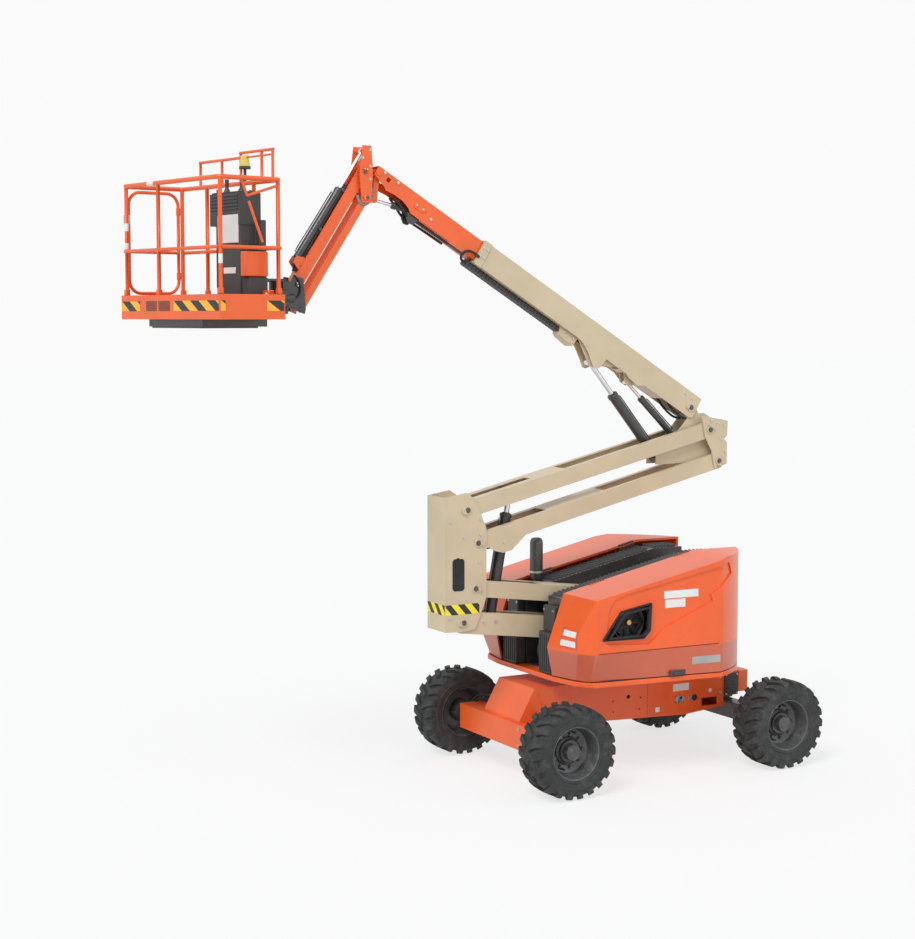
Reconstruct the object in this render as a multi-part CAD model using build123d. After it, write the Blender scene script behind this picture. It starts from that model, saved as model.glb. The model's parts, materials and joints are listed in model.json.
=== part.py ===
from build123d import *

import math
import os

# An articulating boom lift with telescopic main boom, jib and basket.
# Millimetres and degrees. The machine stands on z = 0 with its swing axis at x = y = 0.
# +X is the steered end, and the booms and the basket reach towards -X.
# Side profiles are drawn in the XZ plane as (x, z) pairs and given a width along Y.

# ------------------------------------------------------------------ clearances
FIT = 0.3            # between a pin and its bore, and where parts seat without touching
SIDE = 3.0           # at each side of a link between its cheeks
RUN = 8.0            # between parts that pass each other

# ------------------------------------------------------------------ wheels and axles
WHEELBASE = 2350.0
TRACK = 1980.0
TYRE_OD = 840.0
TYRE_WIDTH = 350.0
RIM_RADIUS = 228.0
RIM_WIDTH = 260.0
HUB_RADIUS = 70.0
AXLE_Z = TYRE_OD / 2
HUB_FACE_Y = TRACK / 2 - 20.0 - FIT
REAR_X = -WHEELBASE / 2
FRONT_X = WHEELBASE / 2
BEAM_DEPTH = 235.0
BEAM_WIDTH = 240.0
BEAM_HALF = 740.0
KINGPIN_Y = 730.0
KINGPIN_RADIUS = 22.0
YOKE_REACH = 95.0
STEER_ARM = 150.0
STEER_BAR_RADIUS = 16.0

# ------------------------------------------------------------------ chassis and turntable
FRAME_HALF = 320.0
FRAME_TOP = 845.0
FRAME_FRONT_X = FRONT_X - 130.0
NOSE_TOP_X = REAR_X + 69.0
NOSE_LOW = (REAR_X - 87.0, 569.0)
PIVOT_LOW = 590.0
SIDE_HOLES = ((-68.0, 667.0, 19.0), (-244.0, 641.0, 8.0), (68.0, 646.0, 8.0), (57.0, 536.0, 8.0),
              (-239.0, 535.0, 8.0))
SIDE_SLOTS = ((FRONT_X - 706.0, FRONT_X - 600.0, 550.0, 615.0),
              (FRONT_X - 391.0, FRONT_X - 206.0, 490.0, 568.0))
PLATE = 16.0
BEARING_RADIUS = 450.0
DECK_LOW = 930.0
DECK_PLATE = 22.0
DECK_TOP = 975.0
TAIL_RADIUS = 1150.0
DECK_HALF = TAIL_RADIUS - 100.0
HOOD_HALF = TAIL_RADIUS - 90.0
HOOD_FRONT_X = -1060.0
CHANNEL_FRONT_X = -880.0
CHANNEL_REAR_X = TAIL_RADIUS - 250.0
CHANNEL_HALF = 452.0
HOOD_INNER = 460.0
HOOD_WALL = 22.0
HOOD_LOW = 985.0
SKIRT_Z = 1250.0
HOOD_TOP_FRONT = (-700.0, 1770.0)
HOOD_TOP_REAR = (560.0, 2040.0)
HINGE_LEDGE = 180.0
HINGE_LEDGES = (-620.0, 330.0)
KNUCKLE_RADIUS = 7.0
WINDOW = ((-790.0, 1385.0), (-620.0, 1600.0), (-335.0, 1650.0), (-345.0, 1435.0), (-400.0, 1385.0))
WINDOW_FRAME = ((-845.0, 1352.0), (-640.0, 1636.0), (-296.0, 1694.0), (-305.0, 1420.0), (-385.0, 1345.0),
                (-800.0, 1345.0))
PANEL = ((-785.0, 1330.0), (-761.0, 1630.0), (-698.0, 1728.0), (-560.0, 1772.0), (-235.0, 1830.0),
         (207.0, 1913.0), (580.0, 1985.0), (639.0, 1879.0), (334.0, 1706.0), (352.0, 1645.0),
         (-165.0, 1438.0), (-284.0, 1339.0), (-338.0, 1300.0))
PANEL_DEPTH = 14.0
LANE_HALF = 190.0
EXHAUST = (-655.0, 392.0)

# ------------------------------------------------------------------ tower linkage
LOWER_LENGTH = 2300.0
LOWER_ANGLE = 7.2
UPPER_LENGTH = 2762.0
UPPER_ANGLE = 13.5
POST_HALF = 165.0
CHEEK = 12.0
LINK_HALF = POST_HALF - CHEEK - SIDE
RAIL = 54.0
LINK_WALL = 8.0
LOWER_ARM_DEPTH = 200.0
LINK_DEPTH = 150.0
PIN_RADIUS = 25.0
MID_TOP = (-1721.0, 2503.0)
MID_TOP_STEP = (108.0, -303.0)
MID_LOW = (-1638.0, 1787.0)
MID_LOW_STEP = (-124.0, -303.0)

# ------------------------------------------------------------------ main boom
BOOM_ANGLE = 31.4
ROOT_STEP = (-185.0, 219.0)
BASE_LENGTH = 2760.0
BASE_DEPTH = 225.0
BASE_TOP = 131.0
BASE_HALF = 100.0
BOOM_WALL = 8.0
FLY_GAP = 4.0
FLY_TIP = 3949.0
FLY_LENGTH = 3360.0
FLY_DEPTH = 184.0
FLY_HALF = 80.0
LIFT_LUG = (1180.0, -190.0)
LEVEL_LUG = (722.0, -137.0)
LIFT_EYE_HALF = 48.0
LEVEL_EYE_HALF = 30.0

# ------------------------------------------------------------------ jib
JIB_ANGLE = -57.0
JIB_LENGTH = 1150.0
JIB_PIN_STEP = (-145.0, 0.0)
JIB_LINK_STEP = (20.0, -218.0)
JIB_RAM_STEP = (-123.0, 182.0)
SLAVE_STEP = (-30.0, -230.0)
JIB_HALF = 60.0
JIB_DEPTH = 100.0
JIB_LINK_DEPTH = 60.0
JIB_PIN_RADIUS = 16.0
SWIVEL_REACH = 150.0
SWIVEL_RADIUS = 82.0

# ------------------------------------------------------------------ basket
BASKET_TURN = 10.4
BASKET_BACK = 455.0
BASKET_DEPTH = 620.0
BASKET_WIDTH = 1550.0
BASKET_FLOOR_Z = 4215.0
KICK_HEIGHT = 200.0
RAIL_TOP = 1133.0
RAIL_MID = 570.0
TUBE = 19.0
GATE_TUBE = 14.0
GATE_BEND = 110.0
CONSOLE_Y = -170.0
GUARD_TUBE = 12.0
GUARD_LOW = 210.0
GUARD_HIGH = 250.0
GUARD_POSTS = (460.0, 120.0, -170.0, -480.0, -640.0)

# ------------------------------------------------------------------ cylinders
TOWER_RAM_R = 52.0
LIFT_RAM_R = 48.0
LEVEL_RAM_R = 32.0
JIB_RAM_R = 36.0
SLAVE_RAM_R = 30.0
ROD_SHARE = 0.5


# ------------------------------------------------------------------ plane geometry
def add(p, q):
    return (p[0] + q[0], p[1] + q[1])


def polar(p, length, angle, side=1.0):
    """The point at a length from p; side -1 reaches towards -X, +1 towards +X."""
    a = math.radians(angle)
    return (p[0] + side * length * math.cos(a), p[1] + length * math.sin(a))


def along(p, q, s, n=0.0):
    """The point s from p towards q and n to its left."""
    length = math.dist(p, q)
    u = ((q[0] - p[0]) / length, (q[1] - p[1]) / length)
    return (p[0] + s * u[0] - n * u[1], p[1] + s * u[1] + n * u[0])


MID_TOP_2 = add(MID_TOP, MID_TOP_STEP)
MID_LOW_2 = add(MID_LOW, MID_LOW_STEP)
DECK_PIN = polar(MID_LOW, LOWER_LENGTH, -LOWER_ANGLE)
DECK_PIN_2 = add(DECK_PIN, MID_LOW_STEP)
POST_PIN = polar(MID_TOP, UPPER_LENGTH, UPPER_ANGLE)
POST_PIN_2 = add(POST_PIN, MID_TOP_STEP)
ROOT = add(POST_PIN, ROOT_STEP)


def boom(s, n=0.0):
    """The point s out along the main boom from its root pin and n above that line."""
    a = math.radians(BOOM_ANGLE)
    return (
        ROOT[0] - s * math.cos(a) + n * math.sin(a),
        ROOT[1] + s * math.sin(a) + n * math.cos(a),
    )


FLY_PIN = boom(FLY_TIP, 68.0)
JIB_PIN = add(FLY_PIN, JIB_PIN_STEP)
JIB_PIN_2 = add(JIB_PIN, JIB_LINK_STEP)
JIB_RAM_PIN = add(FLY_PIN, JIB_RAM_STEP)
SLAVE_PIN = add(FLY_PIN, SLAVE_STEP)
HEAD_PIN = polar(JIB_PIN, JIB_LENGTH, JIB_ANGLE, -1)
HEAD_PIN_2 = add(HEAD_PIN, JIB_LINK_STEP)
SWIVEL_X = HEAD_PIN[0] - SWIVEL_REACH

TOWER_RAM_BASE = along(MID_LOW_2, DECK_PIN_2, 358.0)
TOWER_RAM_EYE = along(MID_TOP, POST_PIN, 547.0)
LIFT_RAM_BASE = (POST_PIN[0] - 515.0, POST_PIN[1] - 263.0)
LIFT_RAM_EYE = boom(*LIFT_LUG)
LEVEL_RAM_BASE = (POST_PIN[0] - 295.0, POST_PIN[1] - 78.0)
LEVEL_RAM_EYE = boom(*LEVEL_LUG)
JIB_RAM_BASE = along(JIB_PIN, HEAD_PIN, 980.0, -100.0)
SLAVE_RAM_BASE = boom(FLY_TIP - 595.0, 30.0)


# ------------------------------------------------------------------ solids
def slab(points, y0, y1):
    """A closed (x, z) outline given a thickness from y0 to y1."""
    outline = Polyline(*[(x, z) for x, z in points], close=True)
    plane = Plane(origin=(0, y1, 0), x_dir=(1, 0, 0), z_dir=(0, -1, 0))
    return extrude(plane * make_face(outline), amount=y1 - y0)


def box(x0, x1, y0, y1, z0, z1):
    return Pos((x0 + x1) / 2, (y0 + y1) / 2, (z0 + z1) / 2) * Box(x1 - x0, y1 - y0, z1 - z0)


def disc(p, radius, y0, y1):
    """A cylinder along Y about the point p of the XZ plane."""
    return Pos(p[0], (y0 + y1) / 2, p[1]) * Rot(90, 0, 0) * Cylinder(radius, y1 - y0)


def pole(x, y, radius, z0, z1):
    return Pos(x, y, (z0 + z1) / 2) * Cylinder(radius, z1 - z0)


def bar(p, q, depth, y0, y1, reach=0.0, offset=0.0):
    """A straight bar of the given depth from p to q, each end longer by reach."""
    length = math.dist(p, q)
    corners = [(-reach, -depth / 2), (length + reach, -depth / 2), (length + reach, depth / 2), (-reach, depth / 2)]
    return slab([along(p, q, s, n + offset) for s, n in corners], y0, y1)


def strut(p, q, radius, s0, s1, y=0.0):
    """A round bar on the line from p to q, between the distances s0 and s1 from p."""
    start = along(p, q, s0)
    end = along(p, q, s1)
    direction = Vector(end[0] - start[0], 0, end[1] - start[1])
    plane = Plane(origin=(start[0], y, start[1]), z_dir=direction)
    return extrude(plane * Circle(radius), amount=direction.length)


def tube(p, q, radius):
    """A round bar between two points in space."""
    direction = Vector(*q) - Vector(*p)
    return extrude(Plane(origin=p, z_dir=direction) * Circle(radius), amount=direction.length)


def solids_of(*shapes):
    """The solids of the shapes as one flat compound."""
    found = []
    for shape in shapes:
        for item in shape if isinstance(shape, (list, tuple)) else [shape]:
            found += item.solids()
    return Compound(children=found)


def fuse(*shapes):
    """The union of the shapes."""
    items = []
    for shape in shapes:
        items += shape if isinstance(shape, (list, tuple)) else [shape]
    result = items[0]
    for item in items[1:]:
        result = result + item
    return result


def stubs(p, radius, inner, half, head=10.0):
    """Two short pins, one in each cheek, that leave the middle free for a cylinder, with a retaining plate each."""
    made = []
    for side in (-1, 1):
        made.append(disc(p, radius, *sorted((side * inner, side * half))))
        made.append(disc(p, radius * 1.45, *sorted((side * (half - FIT), side * (half + head)))))
    return made


def pin(p, radius, half, head=10.0):
    """A pin across the machine with a round retaining plate at each end."""
    return fuse(disc(p, radius, -half, half), [disc(p, radius * 1.45, half - FIT, half + head),
                                               disc(p, radius * 1.45, -half - head, -half + FIT)])


# ------------------------------------------------------------------ wheels
def tyre():
    """A tyre about the origin with its axle along Y."""
    half = TYRE_WIDTH / 2
    tread = TYRE_OD / 2
    outline = [(RIM_RADIUS + FIT, -RIM_WIDTH / 2), (tread - 110, -half), (tread - 50, -half), (tread, -half + 40),
               (tread, half - 40), (tread - 50, half), (tread - 110, half), (RIM_RADIUS + FIT, RIM_WIDTH / 2)]
    face = make_face(Polyline(*outline, close=True))
    return revolve(Plane(origin=(0, 0, 0), x_dir=(1, 0, 0), z_dir=(0, 0, 1)) * face, Axis.Y)


def rim(side):
    """A dished rim about the origin; its open face looks along side * Y."""
    half = RIM_WIDTH / 2
    outline = [(0, -20), (150, -20), (196, -half), (RIM_RADIUS, -half), (RIM_RADIUS, half), (RIM_RADIUS - 12, half),
               (RIM_RADIUS - 24, 40), (150, -6), (HUB_RADIUS + 30, -6), (HUB_RADIUS, 84), (0, 84)]
    face = make_face(Polyline(*[(x, side * y) for x, y in outline], close=True))
    return revolve(face, Axis.Y)


# ------------------------------------------------------------------ chassis
def chassis_frame():
    """The centre frame with its sloped nose, and the rear axle beam across it."""
    low_x, low_z = NOSE_LOW
    side = [(NOSE_TOP_X, FRAME_TOP), NOSE_LOW, (low_x, AXLE_Z - 110), (REAR_X + 275, 440), (-300, 462),
            (FRAME_FRONT_X - 456, 429), (FRAME_FRONT_X, 470), (FRAME_FRONT_X, FRAME_TOP)]
    body = slab(side, -FRAME_HALF, FRAME_HALF)
    inside = slab([(NOSE_TOP_X + PLATE, FRAME_TOP - PLATE), (low_x + 2 * PLATE, low_z - 9),
                   (REAR_X + 275, 440 + PLATE), (-300, 462 + PLATE), (FRAME_FRONT_X - 456, 429 + PLATE),
                   (FRAME_FRONT_X - PLATE, 470 + PLATE), (FRAME_FRONT_X - PLATE, FRAME_TOP - PLATE)],
                  -FRAME_HALF + PLATE, FRAME_HALF - PLATE)
    x0, x1 = REAR_X - BEAM_WIDTH / 2, REAR_X + BEAM_WIDTH / 2
    z0, z1 = AXLE_Z - BEAM_DEPTH / 2, AXLE_Z + BEAM_DEPTH / 2
    beam = box(x0, x1, -BEAM_HALF, BEAM_HALF, z0, z1)
    hollow = [box(x0 + PLATE, x1 - PLATE, *sorted((side * (FRAME_HALF + 5), side * (BEAM_HALF - 40))),
                  z0 + PLATE, z1 - PLATE) for side in (-1, 1)]
    end = box(FRAME_FRONT_X - 1, FRONT_X + 155, -FRAME_HALF, FRAME_HALF, PIVOT_LOW, FRAME_TOP - 45)
    end_hollow = box(FRAME_FRONT_X + PLATE, FRONT_X + 155 - PLATE, -FRAME_HALF + PLATE, FRAME_HALF - PLATE,
                     PIVOT_LOW + PLATE, FRAME_TOP - 45 - PLATE)
    body = fuse(body - inside, beam, end) - end_hollow
    for item in hollow:
        body = body - item
    for x, z, radius in SIDE_HOLES:
        body = body - disc((x, z), radius, -FRAME_HALF - 5, FRAME_HALF + 5)
    for x0, x1, z0, z1 in SIDE_SLOTS:
        body = body - box(x0, x1, -FRAME_HALF - 5, FRAME_HALF + 5, z0, z1)
    return body


def rear_hubs():
    """The drive hubs at the ends of the rear axle beam."""
    hubs = []
    for side in (-1, 1):
        low, high = sorted((side * (BEAM_HALF + FIT), side * HUB_FACE_Y))
        hubs.append(disc((REAR_X, AXLE_Z), 110, low, high))
    return solids_of(hubs)


def front_axle():
    """The steer axle beam with its yokes, hung from the pivot box above it."""
    inner = KINGPIN_Y - YOKE_REACH
    beam = box(FRONT_X - 70, FRONT_X + 70, -inner, inner, AXLE_Z - 75, AXLE_Z + 85)
    hollow = [box(FRONT_X - 58, FRONT_X + 58, *sorted((side * 160, side * (inner - 12))), AXLE_Z - 63, AXLE_Z + 73)
              for side in (-1, 1)]
    hanger = box(FRONT_X - 110, FRONT_X + 110, -150, 150, AXLE_Z + 84, PIVOT_LOW - FIT)
    yokes = []
    for side in (-1, 1):
        y = side * KINGPIN_Y
        y0, y1 = sorted((side * (inner - 1), side * (KINGPIN_Y + 40)))
        for z in (AXLE_Z - 95, AXLE_Z + 65):
            plate = box(FRONT_X - 55, FRONT_X + 55, y0, y1, z, z + 30)
            yokes.append(plate - pole(FRONT_X, y, KINGPIN_RADIUS + FIT, z - 5, z + 35))
        yokes.append(box(FRONT_X - 60, FRONT_X + 60, *sorted((side * (inner - 1), side * (inner + 17))),
                         AXLE_Z - 95, AXLE_Z + 95))
    body = fuse(beam, hanger, yokes)
    for item in hollow:
        body = body - item
    return body


def knuckle(side):
    """A steering knuckle: king pin, block, stub axle and steering arm."""
    y = side * KINGPIN_Y
    z0 = AXLE_Z - 65 + SIDE
    z1 = AXLE_Z + 65 - SIDE
    block = box(FRONT_X - 50, FRONT_X + 50, y - 45, y + 45, z0, z1)
    kingpin = pole(FRONT_X, y, KINGPIN_RADIUS, AXLE_Z - 105, AXLE_Z + 105)
    stub = disc((FRONT_X, AXLE_Z), 45, *sorted((y, side * (KINGPIN_Y + 80))))
    hub = disc((FRONT_X, AXLE_Z), 100, *sorted((side * (KINGPIN_Y + 75), side * HUB_FACE_Y)))
    arm = box(FRONT_X + 40, FRONT_X + STEER_ARM + 25, y - 22, y + 22, AXLE_Z - 15, AXLE_Z + 15)
    return fuse(block, kingpin, stub, hub, arm)


def tie_rod():
    """The bar that joins the two steering arms, lying on top of them."""
    z = AXLE_Z + 15 + FIT + STEER_BAR_RADIUS + 2
    x = FRONT_X + STEER_ARM
    rod = Pos(x, 0, z) * Rot(90, 0, 0) * Cylinder(STEER_BAR_RADIUS, 2 * KINGPIN_Y)
    ends = [pole(x, side * KINGPIN_Y, 24, z - STEER_BAR_RADIUS - 2, z + STEER_BAR_RADIUS + 2) for side in (-1, 1)]
    return fuse(rod, ends)


# ------------------------------------------------------------------ turntable
def deck_outline(shrink=0.0):
    """The plan of the turntable: a blunt front and a round tail about the swing axis."""
    r = TAIL_RADIUS - shrink
    y = DECK_HALF - shrink
    x = math.sqrt(r * r - y * y)
    front = -1010.0 + shrink
    line = Polyline((x, -y), (-860, 120 - y), (-960 + shrink, 260 - y), (front, -500), (front, 500),
                    (-960 + shrink, y - 260), (-860, y - 120), (x, y))
    arc = ThreePointArc((x, y), (r, 0), (x, -y))
    return make_face([line, arc])


def turntable_deck():
    """The turntable plate with the rim strip under it and the bearing spigot."""
    plate = Pos(0, 0, DECK_LOW) * extrude(deck_outline(), amount=DECK_TOP - DECK_LOW)
    under = Pos(0, 0, DECK_LOW - 1) * extrude(deck_outline(30.0), amount=DECK_TOP - DECK_PLATE - DECK_LOW + 1)
    ring = pole(0, 0, BEARING_RADIUS, FRAME_TOP + FIT, DECK_TOP - 1) - pole(0, 0, BEARING_RADIUS - 70, 800, DECK_TOP - DECK_PLATE)
    return (plate - under) + ring


def tower_bracket():
    """The cheek plates on the turntable that carry the lower links."""
    cheeks = []
    for side in (-1, 1):
        y0, y1 = sorted((side * (POST_HALF - CHEEK), side * POST_HALF))
        plate = slab([(DECK_PIN_2[0] - 240, DECK_TOP + FIT), (DECK_PIN[0] + 220, DECK_TOP + FIT),
                      (DECK_PIN[0] + 110, DECK_PIN[1] + 90), (DECK_PIN[0] - 90, DECK_PIN[1] + 90),
                      (DECK_PIN_2[0] - 90, DECK_PIN_2[1] + 40)], y0, y1)
        cheeks.append(plate)
    back = box(DECK_PIN[0] + 130, DECK_PIN[0] + 150, -POST_HALF + CHEEK, POST_HALF - CHEEK, DECK_TOP + FIT, DECK_PIN[1])
    pins = [pin(DECK_PIN, PIN_RADIUS, POST_HALF), pin(DECK_PIN_2, PIN_RADIUS, POST_HALF)]
    return fuse(cheeks, back, pins)


def side_profile(grow=0.0):
    """The hoods' outline from the side, moved inwards by grow."""
    return [(HOOD_FRONT_X + grow, HOOD_LOW), (HOOD_FRONT_X + grow, SKIRT_Z), (HOOD_FRONT_X + 175 + grow, 1730 - grow),
            (HOOD_TOP_FRONT[0], HOOD_TOP_FRONT[1] - grow), (HOOD_TOP_REAR[0], HOOD_TOP_REAR[1] - grow),
            (TAIL_RADIUS + 50, HOOD_TOP_REAR[1] - grow), (TAIL_RADIUS + 50, HOOD_LOW)]


def hood_plan(shrink, low):
    """The plan of the near hood, at its skirt line or at its lower edge."""
    r = TAIL_RADIUS - shrink
    y = HOOD_HALF - shrink
    x = math.sqrt(r * r - y * y)
    xe = math.sqrt(r * r - HOOD_INNER * HOOD_INNER)
    tuck = 110.0 if low else 0.0
    front = HOOD_FRONT_X + shrink + tuck * 0.5
    line = Polyline((x, -y), (HOOD_FRONT_X + 180 + shrink * 0.4, 50 - y + tuck),
                    (HOOD_FRONT_X + 60 + shrink + tuck * 0.5, 180 - HOOD_HALF + shrink * 0.4 + tuck),
                    (front, -HOOD_INNER), (xe, -HOOD_INNER))
    mid = math.atan2((y + HOOD_INNER) / 2, (x + xe) / 2)
    arc = ThreePointArc((xe, -HOOD_INNER), (r * math.cos(mid), -r * math.sin(mid)), (x, -y))
    return make_face([line, arc])


def hood_form(shrink, low_z):
    """The near hood as a solid, with every wall moved inwards by shrink."""
    plan = hood_plan(shrink, False)
    top = Pos(0, 0, SKIRT_Z) * extrude(plan, amount=1000)
    skirt = loft([Pos(0, 0, low_z) * hood_plan(shrink, True), Pos(0, 0, SKIRT_Z) * plan], ruled=True)
    return (top + skirt) & slab(side_profile(shrink), -HOOD_HALF - 240, -HOOD_INNER)


def skin(outline, outer, inner):
    """The part of the near hood's side, between two depths below its face, that lies inside an outline."""
    patch = slab(outline, -HOOD_HALF - 240, -HOOD_HALF + 260)
    return (hood_form(outer, HOOD_LOW) & patch) - hood_form(inner, HOOD_LOW)


def hood(side):
    """A hollow hood cover, open below and towards the channel, with its window."""
    inner = hood_form(HOOD_WALL, HOOD_LOW)
    opened = inner + Pos(0, HOOD_WALL + 5, 0) * inner + Pos(0, 0, -20) * inner
    shell = hood_form(0.0, HOOD_LOW) - opened
    shell = shell - skin(PANEL, -5.0, PANEL_DEPTH)
    if side < 0:
        glass = slab(WINDOW, -HOOD_HALF - 140, -HOOD_HALF + 160)
        shell = (shell + skin(WINDOW_FRAME, 2.0, PANEL_DEPTH + 4)) - glass
    knuckles = []
    for x in HINGE_LEDGES:
        start, end = (Vector(px, -HOOD_INNER, hood_top(px)) for px in (x, x + HINGE_LEDGE))
        knuckles.append(tube(start, end, KNUCKLE_RADIUS))
    shell = fuse(shell, knuckles)
    return shell if side < 0 else shell.mirror(Plane.XZ)


def hood_top(x):
    """The height of the hoods' sloping inner edge at x."""
    (x0, z0), (x1, z1) = HOOD_TOP_FRONT, HOOD_TOP_REAR
    return z0 + (z1 - z0) * (x - x0) / (x1 - x0)


def channel():
    """The black channel between the hoods: outer walls, a floor, and a covered box on each side of the booms."""
    front_x, rear_x, low = CHANNEL_FRONT_X, CHANNEL_REAR_X, DECK_TOP + FIT
    walls = []
    for side in (-1, 1):
        y0, y1 = sorted((side * CHANNEL_HALF, side * (CHANNEL_HALF - 12)))
        walls.append(slab([(front_x, low), (front_x, 1640), (HOOD_TOP_FRONT[0], HOOD_TOP_FRONT[1] - 60),
                           (HOOD_TOP_REAR[0], HOOD_TOP_REAR[1] - 60), (rear_x, HOOD_TOP_REAR[1] - 60),
                           (rear_x, low)], y0, y1))
    floor = box(front_x, rear_x, -CHANNEL_HALF + 11, CHANNEL_HALF - 11, low, DECK_TOP + 12)
    cut = box(DECK_PIN_2[0] - 300, rear_x + 20, -POST_HALF - 15, POST_HALF + 15, DECK_TOP - 10, DECK_TOP + 30)
    px, py = EXHAUST
    for side in (-1, 1):
        inner, outer = LANE_HALF, CHANNEL_HALF - 11
        top = [(x, hood_top(x) - 60) for x in (front_x, HOOD_TOP_REAR[0])]
        top.append((rear_x, HOOD_TOP_REAR[1] - 60))
        cover = slab(top + [(x, z - 12) for x, z in reversed(top)], *sorted((side * inner, side * outer)))
        wall = slab([(front_x, low)] + top + [(rear_x, low)], *sorted((side * inner, side * (inner + 12))))
        front = box(front_x, front_x + 12, *sorted((side * inner, side * outer)), low, top[0][1] - 1)
        walls += [cover - pole(px, py, 50, 1500, 2000), wall, front]
    ledges = []
    for side in (-1, 1):
        for x in HINGE_LEDGES:
            seat = [(px, hood_top(px) - HOOD_WALL - FIT) for px in (x, x + HINGE_LEDGE)]
            ledges.append(slab(seat + [(px, pz - 50) for px, pz in reversed(seat)],
                               *sorted((side * (CHANNEL_HALF - 12), side * (HOOD_INNER + HOOD_WALL)))))
    return fuse(walls, floor, ledges) - cut


def engine():
    """The engine as one plain block behind the near hood."""
    return box(-720, 80, -HOOD_HALF + 160, -HOOD_HALF + 540, DECK_TOP + FIT, 1560)


def counterweight():
    """The cast tail weight that closes the channel behind the booms."""
    r = TAIL_RADIUS - 40
    half = CHANNEL_HALF - 12 - FIT
    edge = math.sqrt(r * r - half * half)
    front = CHANNEL_REAR_X + 10
    line = Polyline((edge, half), (front, half), (front, -half), (edge, -half))
    arc = ThreePointArc((edge, -half), (r, 0), (edge, half))
    return Pos(0, 0, DECK_TOP + FIT) * extrude(make_face([line, arc]), amount=880)


def exhaust():
    """The exhaust stub that stands through the channel's cover, open at its top."""
    return pole(*EXHAUST, 42, DECK_TOP + 12 + FIT, 2130) - pole(*EXHAUST, 34, 1990, 2140)


# ------------------------------------------------------------------ tower links
def box_link(p, q, depth, slots):
    """A fabricated hollow link between two pins, with through slots given as (start, end, half width)."""
    length = math.dist(p, q)
    body = fuse(bar(p, q, depth, -LINK_HALF, LINK_HALF), disc(p, depth / 2, -LINK_HALF, LINK_HALF),
                disc(q, depth / 2, -LINK_HALF, LINK_HALF))
    inner = depth / 2 - LINK_WALL
    body = body - slab([along(p, q, s, n) for s, n in ((END_BLOCK, -inner), (length - END_BLOCK, -inner),
                                                       (length - END_BLOCK, inner), (END_BLOCK, inner))],
                       -LINK_HALF + LINK_WALL, LINK_HALF - LINK_WALL)
    for start, end, half in slots:
        body = body - slab([along(p, q, s, n) for s, n in ((start, -400), (end, -400), (end, 400), (start, 400))],
                           -half, half)
    for centre in (p, q):
        body = body - disc(centre, PIN_RADIUS + FIT, -200, 200)
    return body


SLOT = LINK_HALF - RAIL
END_BLOCK = 70.0
EYE_SLOT = TOWER_RAM_R + RUN


def lower_arm():
    """The main lower link, which carries the foot of the tower cylinder."""
    body = box_link(MID_LOW_2, DECK_PIN_2, LOWER_ARM_DEPTH, [(-200, 700, EYE_SLOT)])
    foot = [disc(TOWER_RAM_BASE, 45, *sorted((side * (TOWER_RAM_R + 4), side * (LINK_HALF - 1)))) for side in (-1, 1)]
    return fuse(body, foot, disc(TOWER_RAM_BASE, PIN_RADIUS, -TOWER_RAM_R - 10, TOWER_RAM_R + 10))


def lower_link():
    return box_link(MID_LOW, DECK_PIN, LINK_DEPTH, [(-200, 750, SLOT)])


def upper_arm():
    """The main upper link, which the tower cylinder's rod lifts."""
    body = box_link(MID_TOP, POST_PIN, LINK_DEPTH,
                    [(END_BLOCK, 760, EYE_SLOT), (UPPER_LENGTH - 1650, UPPER_LENGTH + 200, SLOT)])
    bosses = [disc(TOWER_RAM_EYE, 40, *sorted((side * 46, side * (LINK_HALF - 1)))) for side in (-1, 1)]
    return fuse(body, bosses)


def upper_link():
    body = box_link(MID_TOP_2, POST_PIN_2, LINK_DEPTH,
                    [(-200, 800, SLOT), (UPPER_LENGTH - 1300, UPPER_LENGTH + 200, SLOT)])
    outline = [add(MID_TOP_2, step) for step in ((65, 35), (112, -41), (193, -88), (274, -106), (364, -88), (542, 71),
                                                 (553, 130), (113, 30))]
    gussets = [slab(outline, *sorted((side * (LINK_HALF - 12), side * LINK_HALF))) for side in (-1, 1)]
    return fuse(body, gussets)


SIDE_SLOT = (-182.0, 25.0, 271.0, 20.0)


def mid_post():
    """The upright that ties the lower and upper links, open towards +X."""
    outline = [add(MID_TOP, step) for step in ((-234, 120), (-10, 157), (81, 97), (196, -173))]
    outline += [add(MID_LOW, step) for step in ((113, -87), (-2, -367), (-122, -387), (-317, -378))]
    cheeks = [slab(outline, *sorted((side * (POST_HALF - CHEEK), side * POST_HALF))) for side in (-1, 1)]
    top, foot = outline[0], outline[-1]
    web = slab([top, add(top, (CHEEK, 2)), add(foot, (CHEEK, -1)), foot], -POST_HALF + CHEEK, POST_HALF - CHEEK)
    pins = [pin(p, PIN_RADIUS, POST_HALF) for p in (MID_TOP, MID_LOW_2)]
    pins += [stubs(p, PIN_RADIUS, EYE_SLOT + SIDE, POST_HALF) for p in (MID_TOP_2, MID_LOW)]
    x, z0, z1, radius = SIDE_SLOT
    x, z0, z1 = MID_LOW[0] + x, MID_LOW[1] + z0, MID_LOW[1] + z1
    half = POST_HALF + 5
    cut = fuse(box(x - radius, x + radius, -half, half, z0, z1), [disc((x, z), radius, -half, half) for z in (z0, z1)])
    cheeks = [cheek - cut for cheek in cheeks]
    return fuse(cheeks, web, pins)


EXT_HALF = SLOT - RUN - 4


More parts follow.
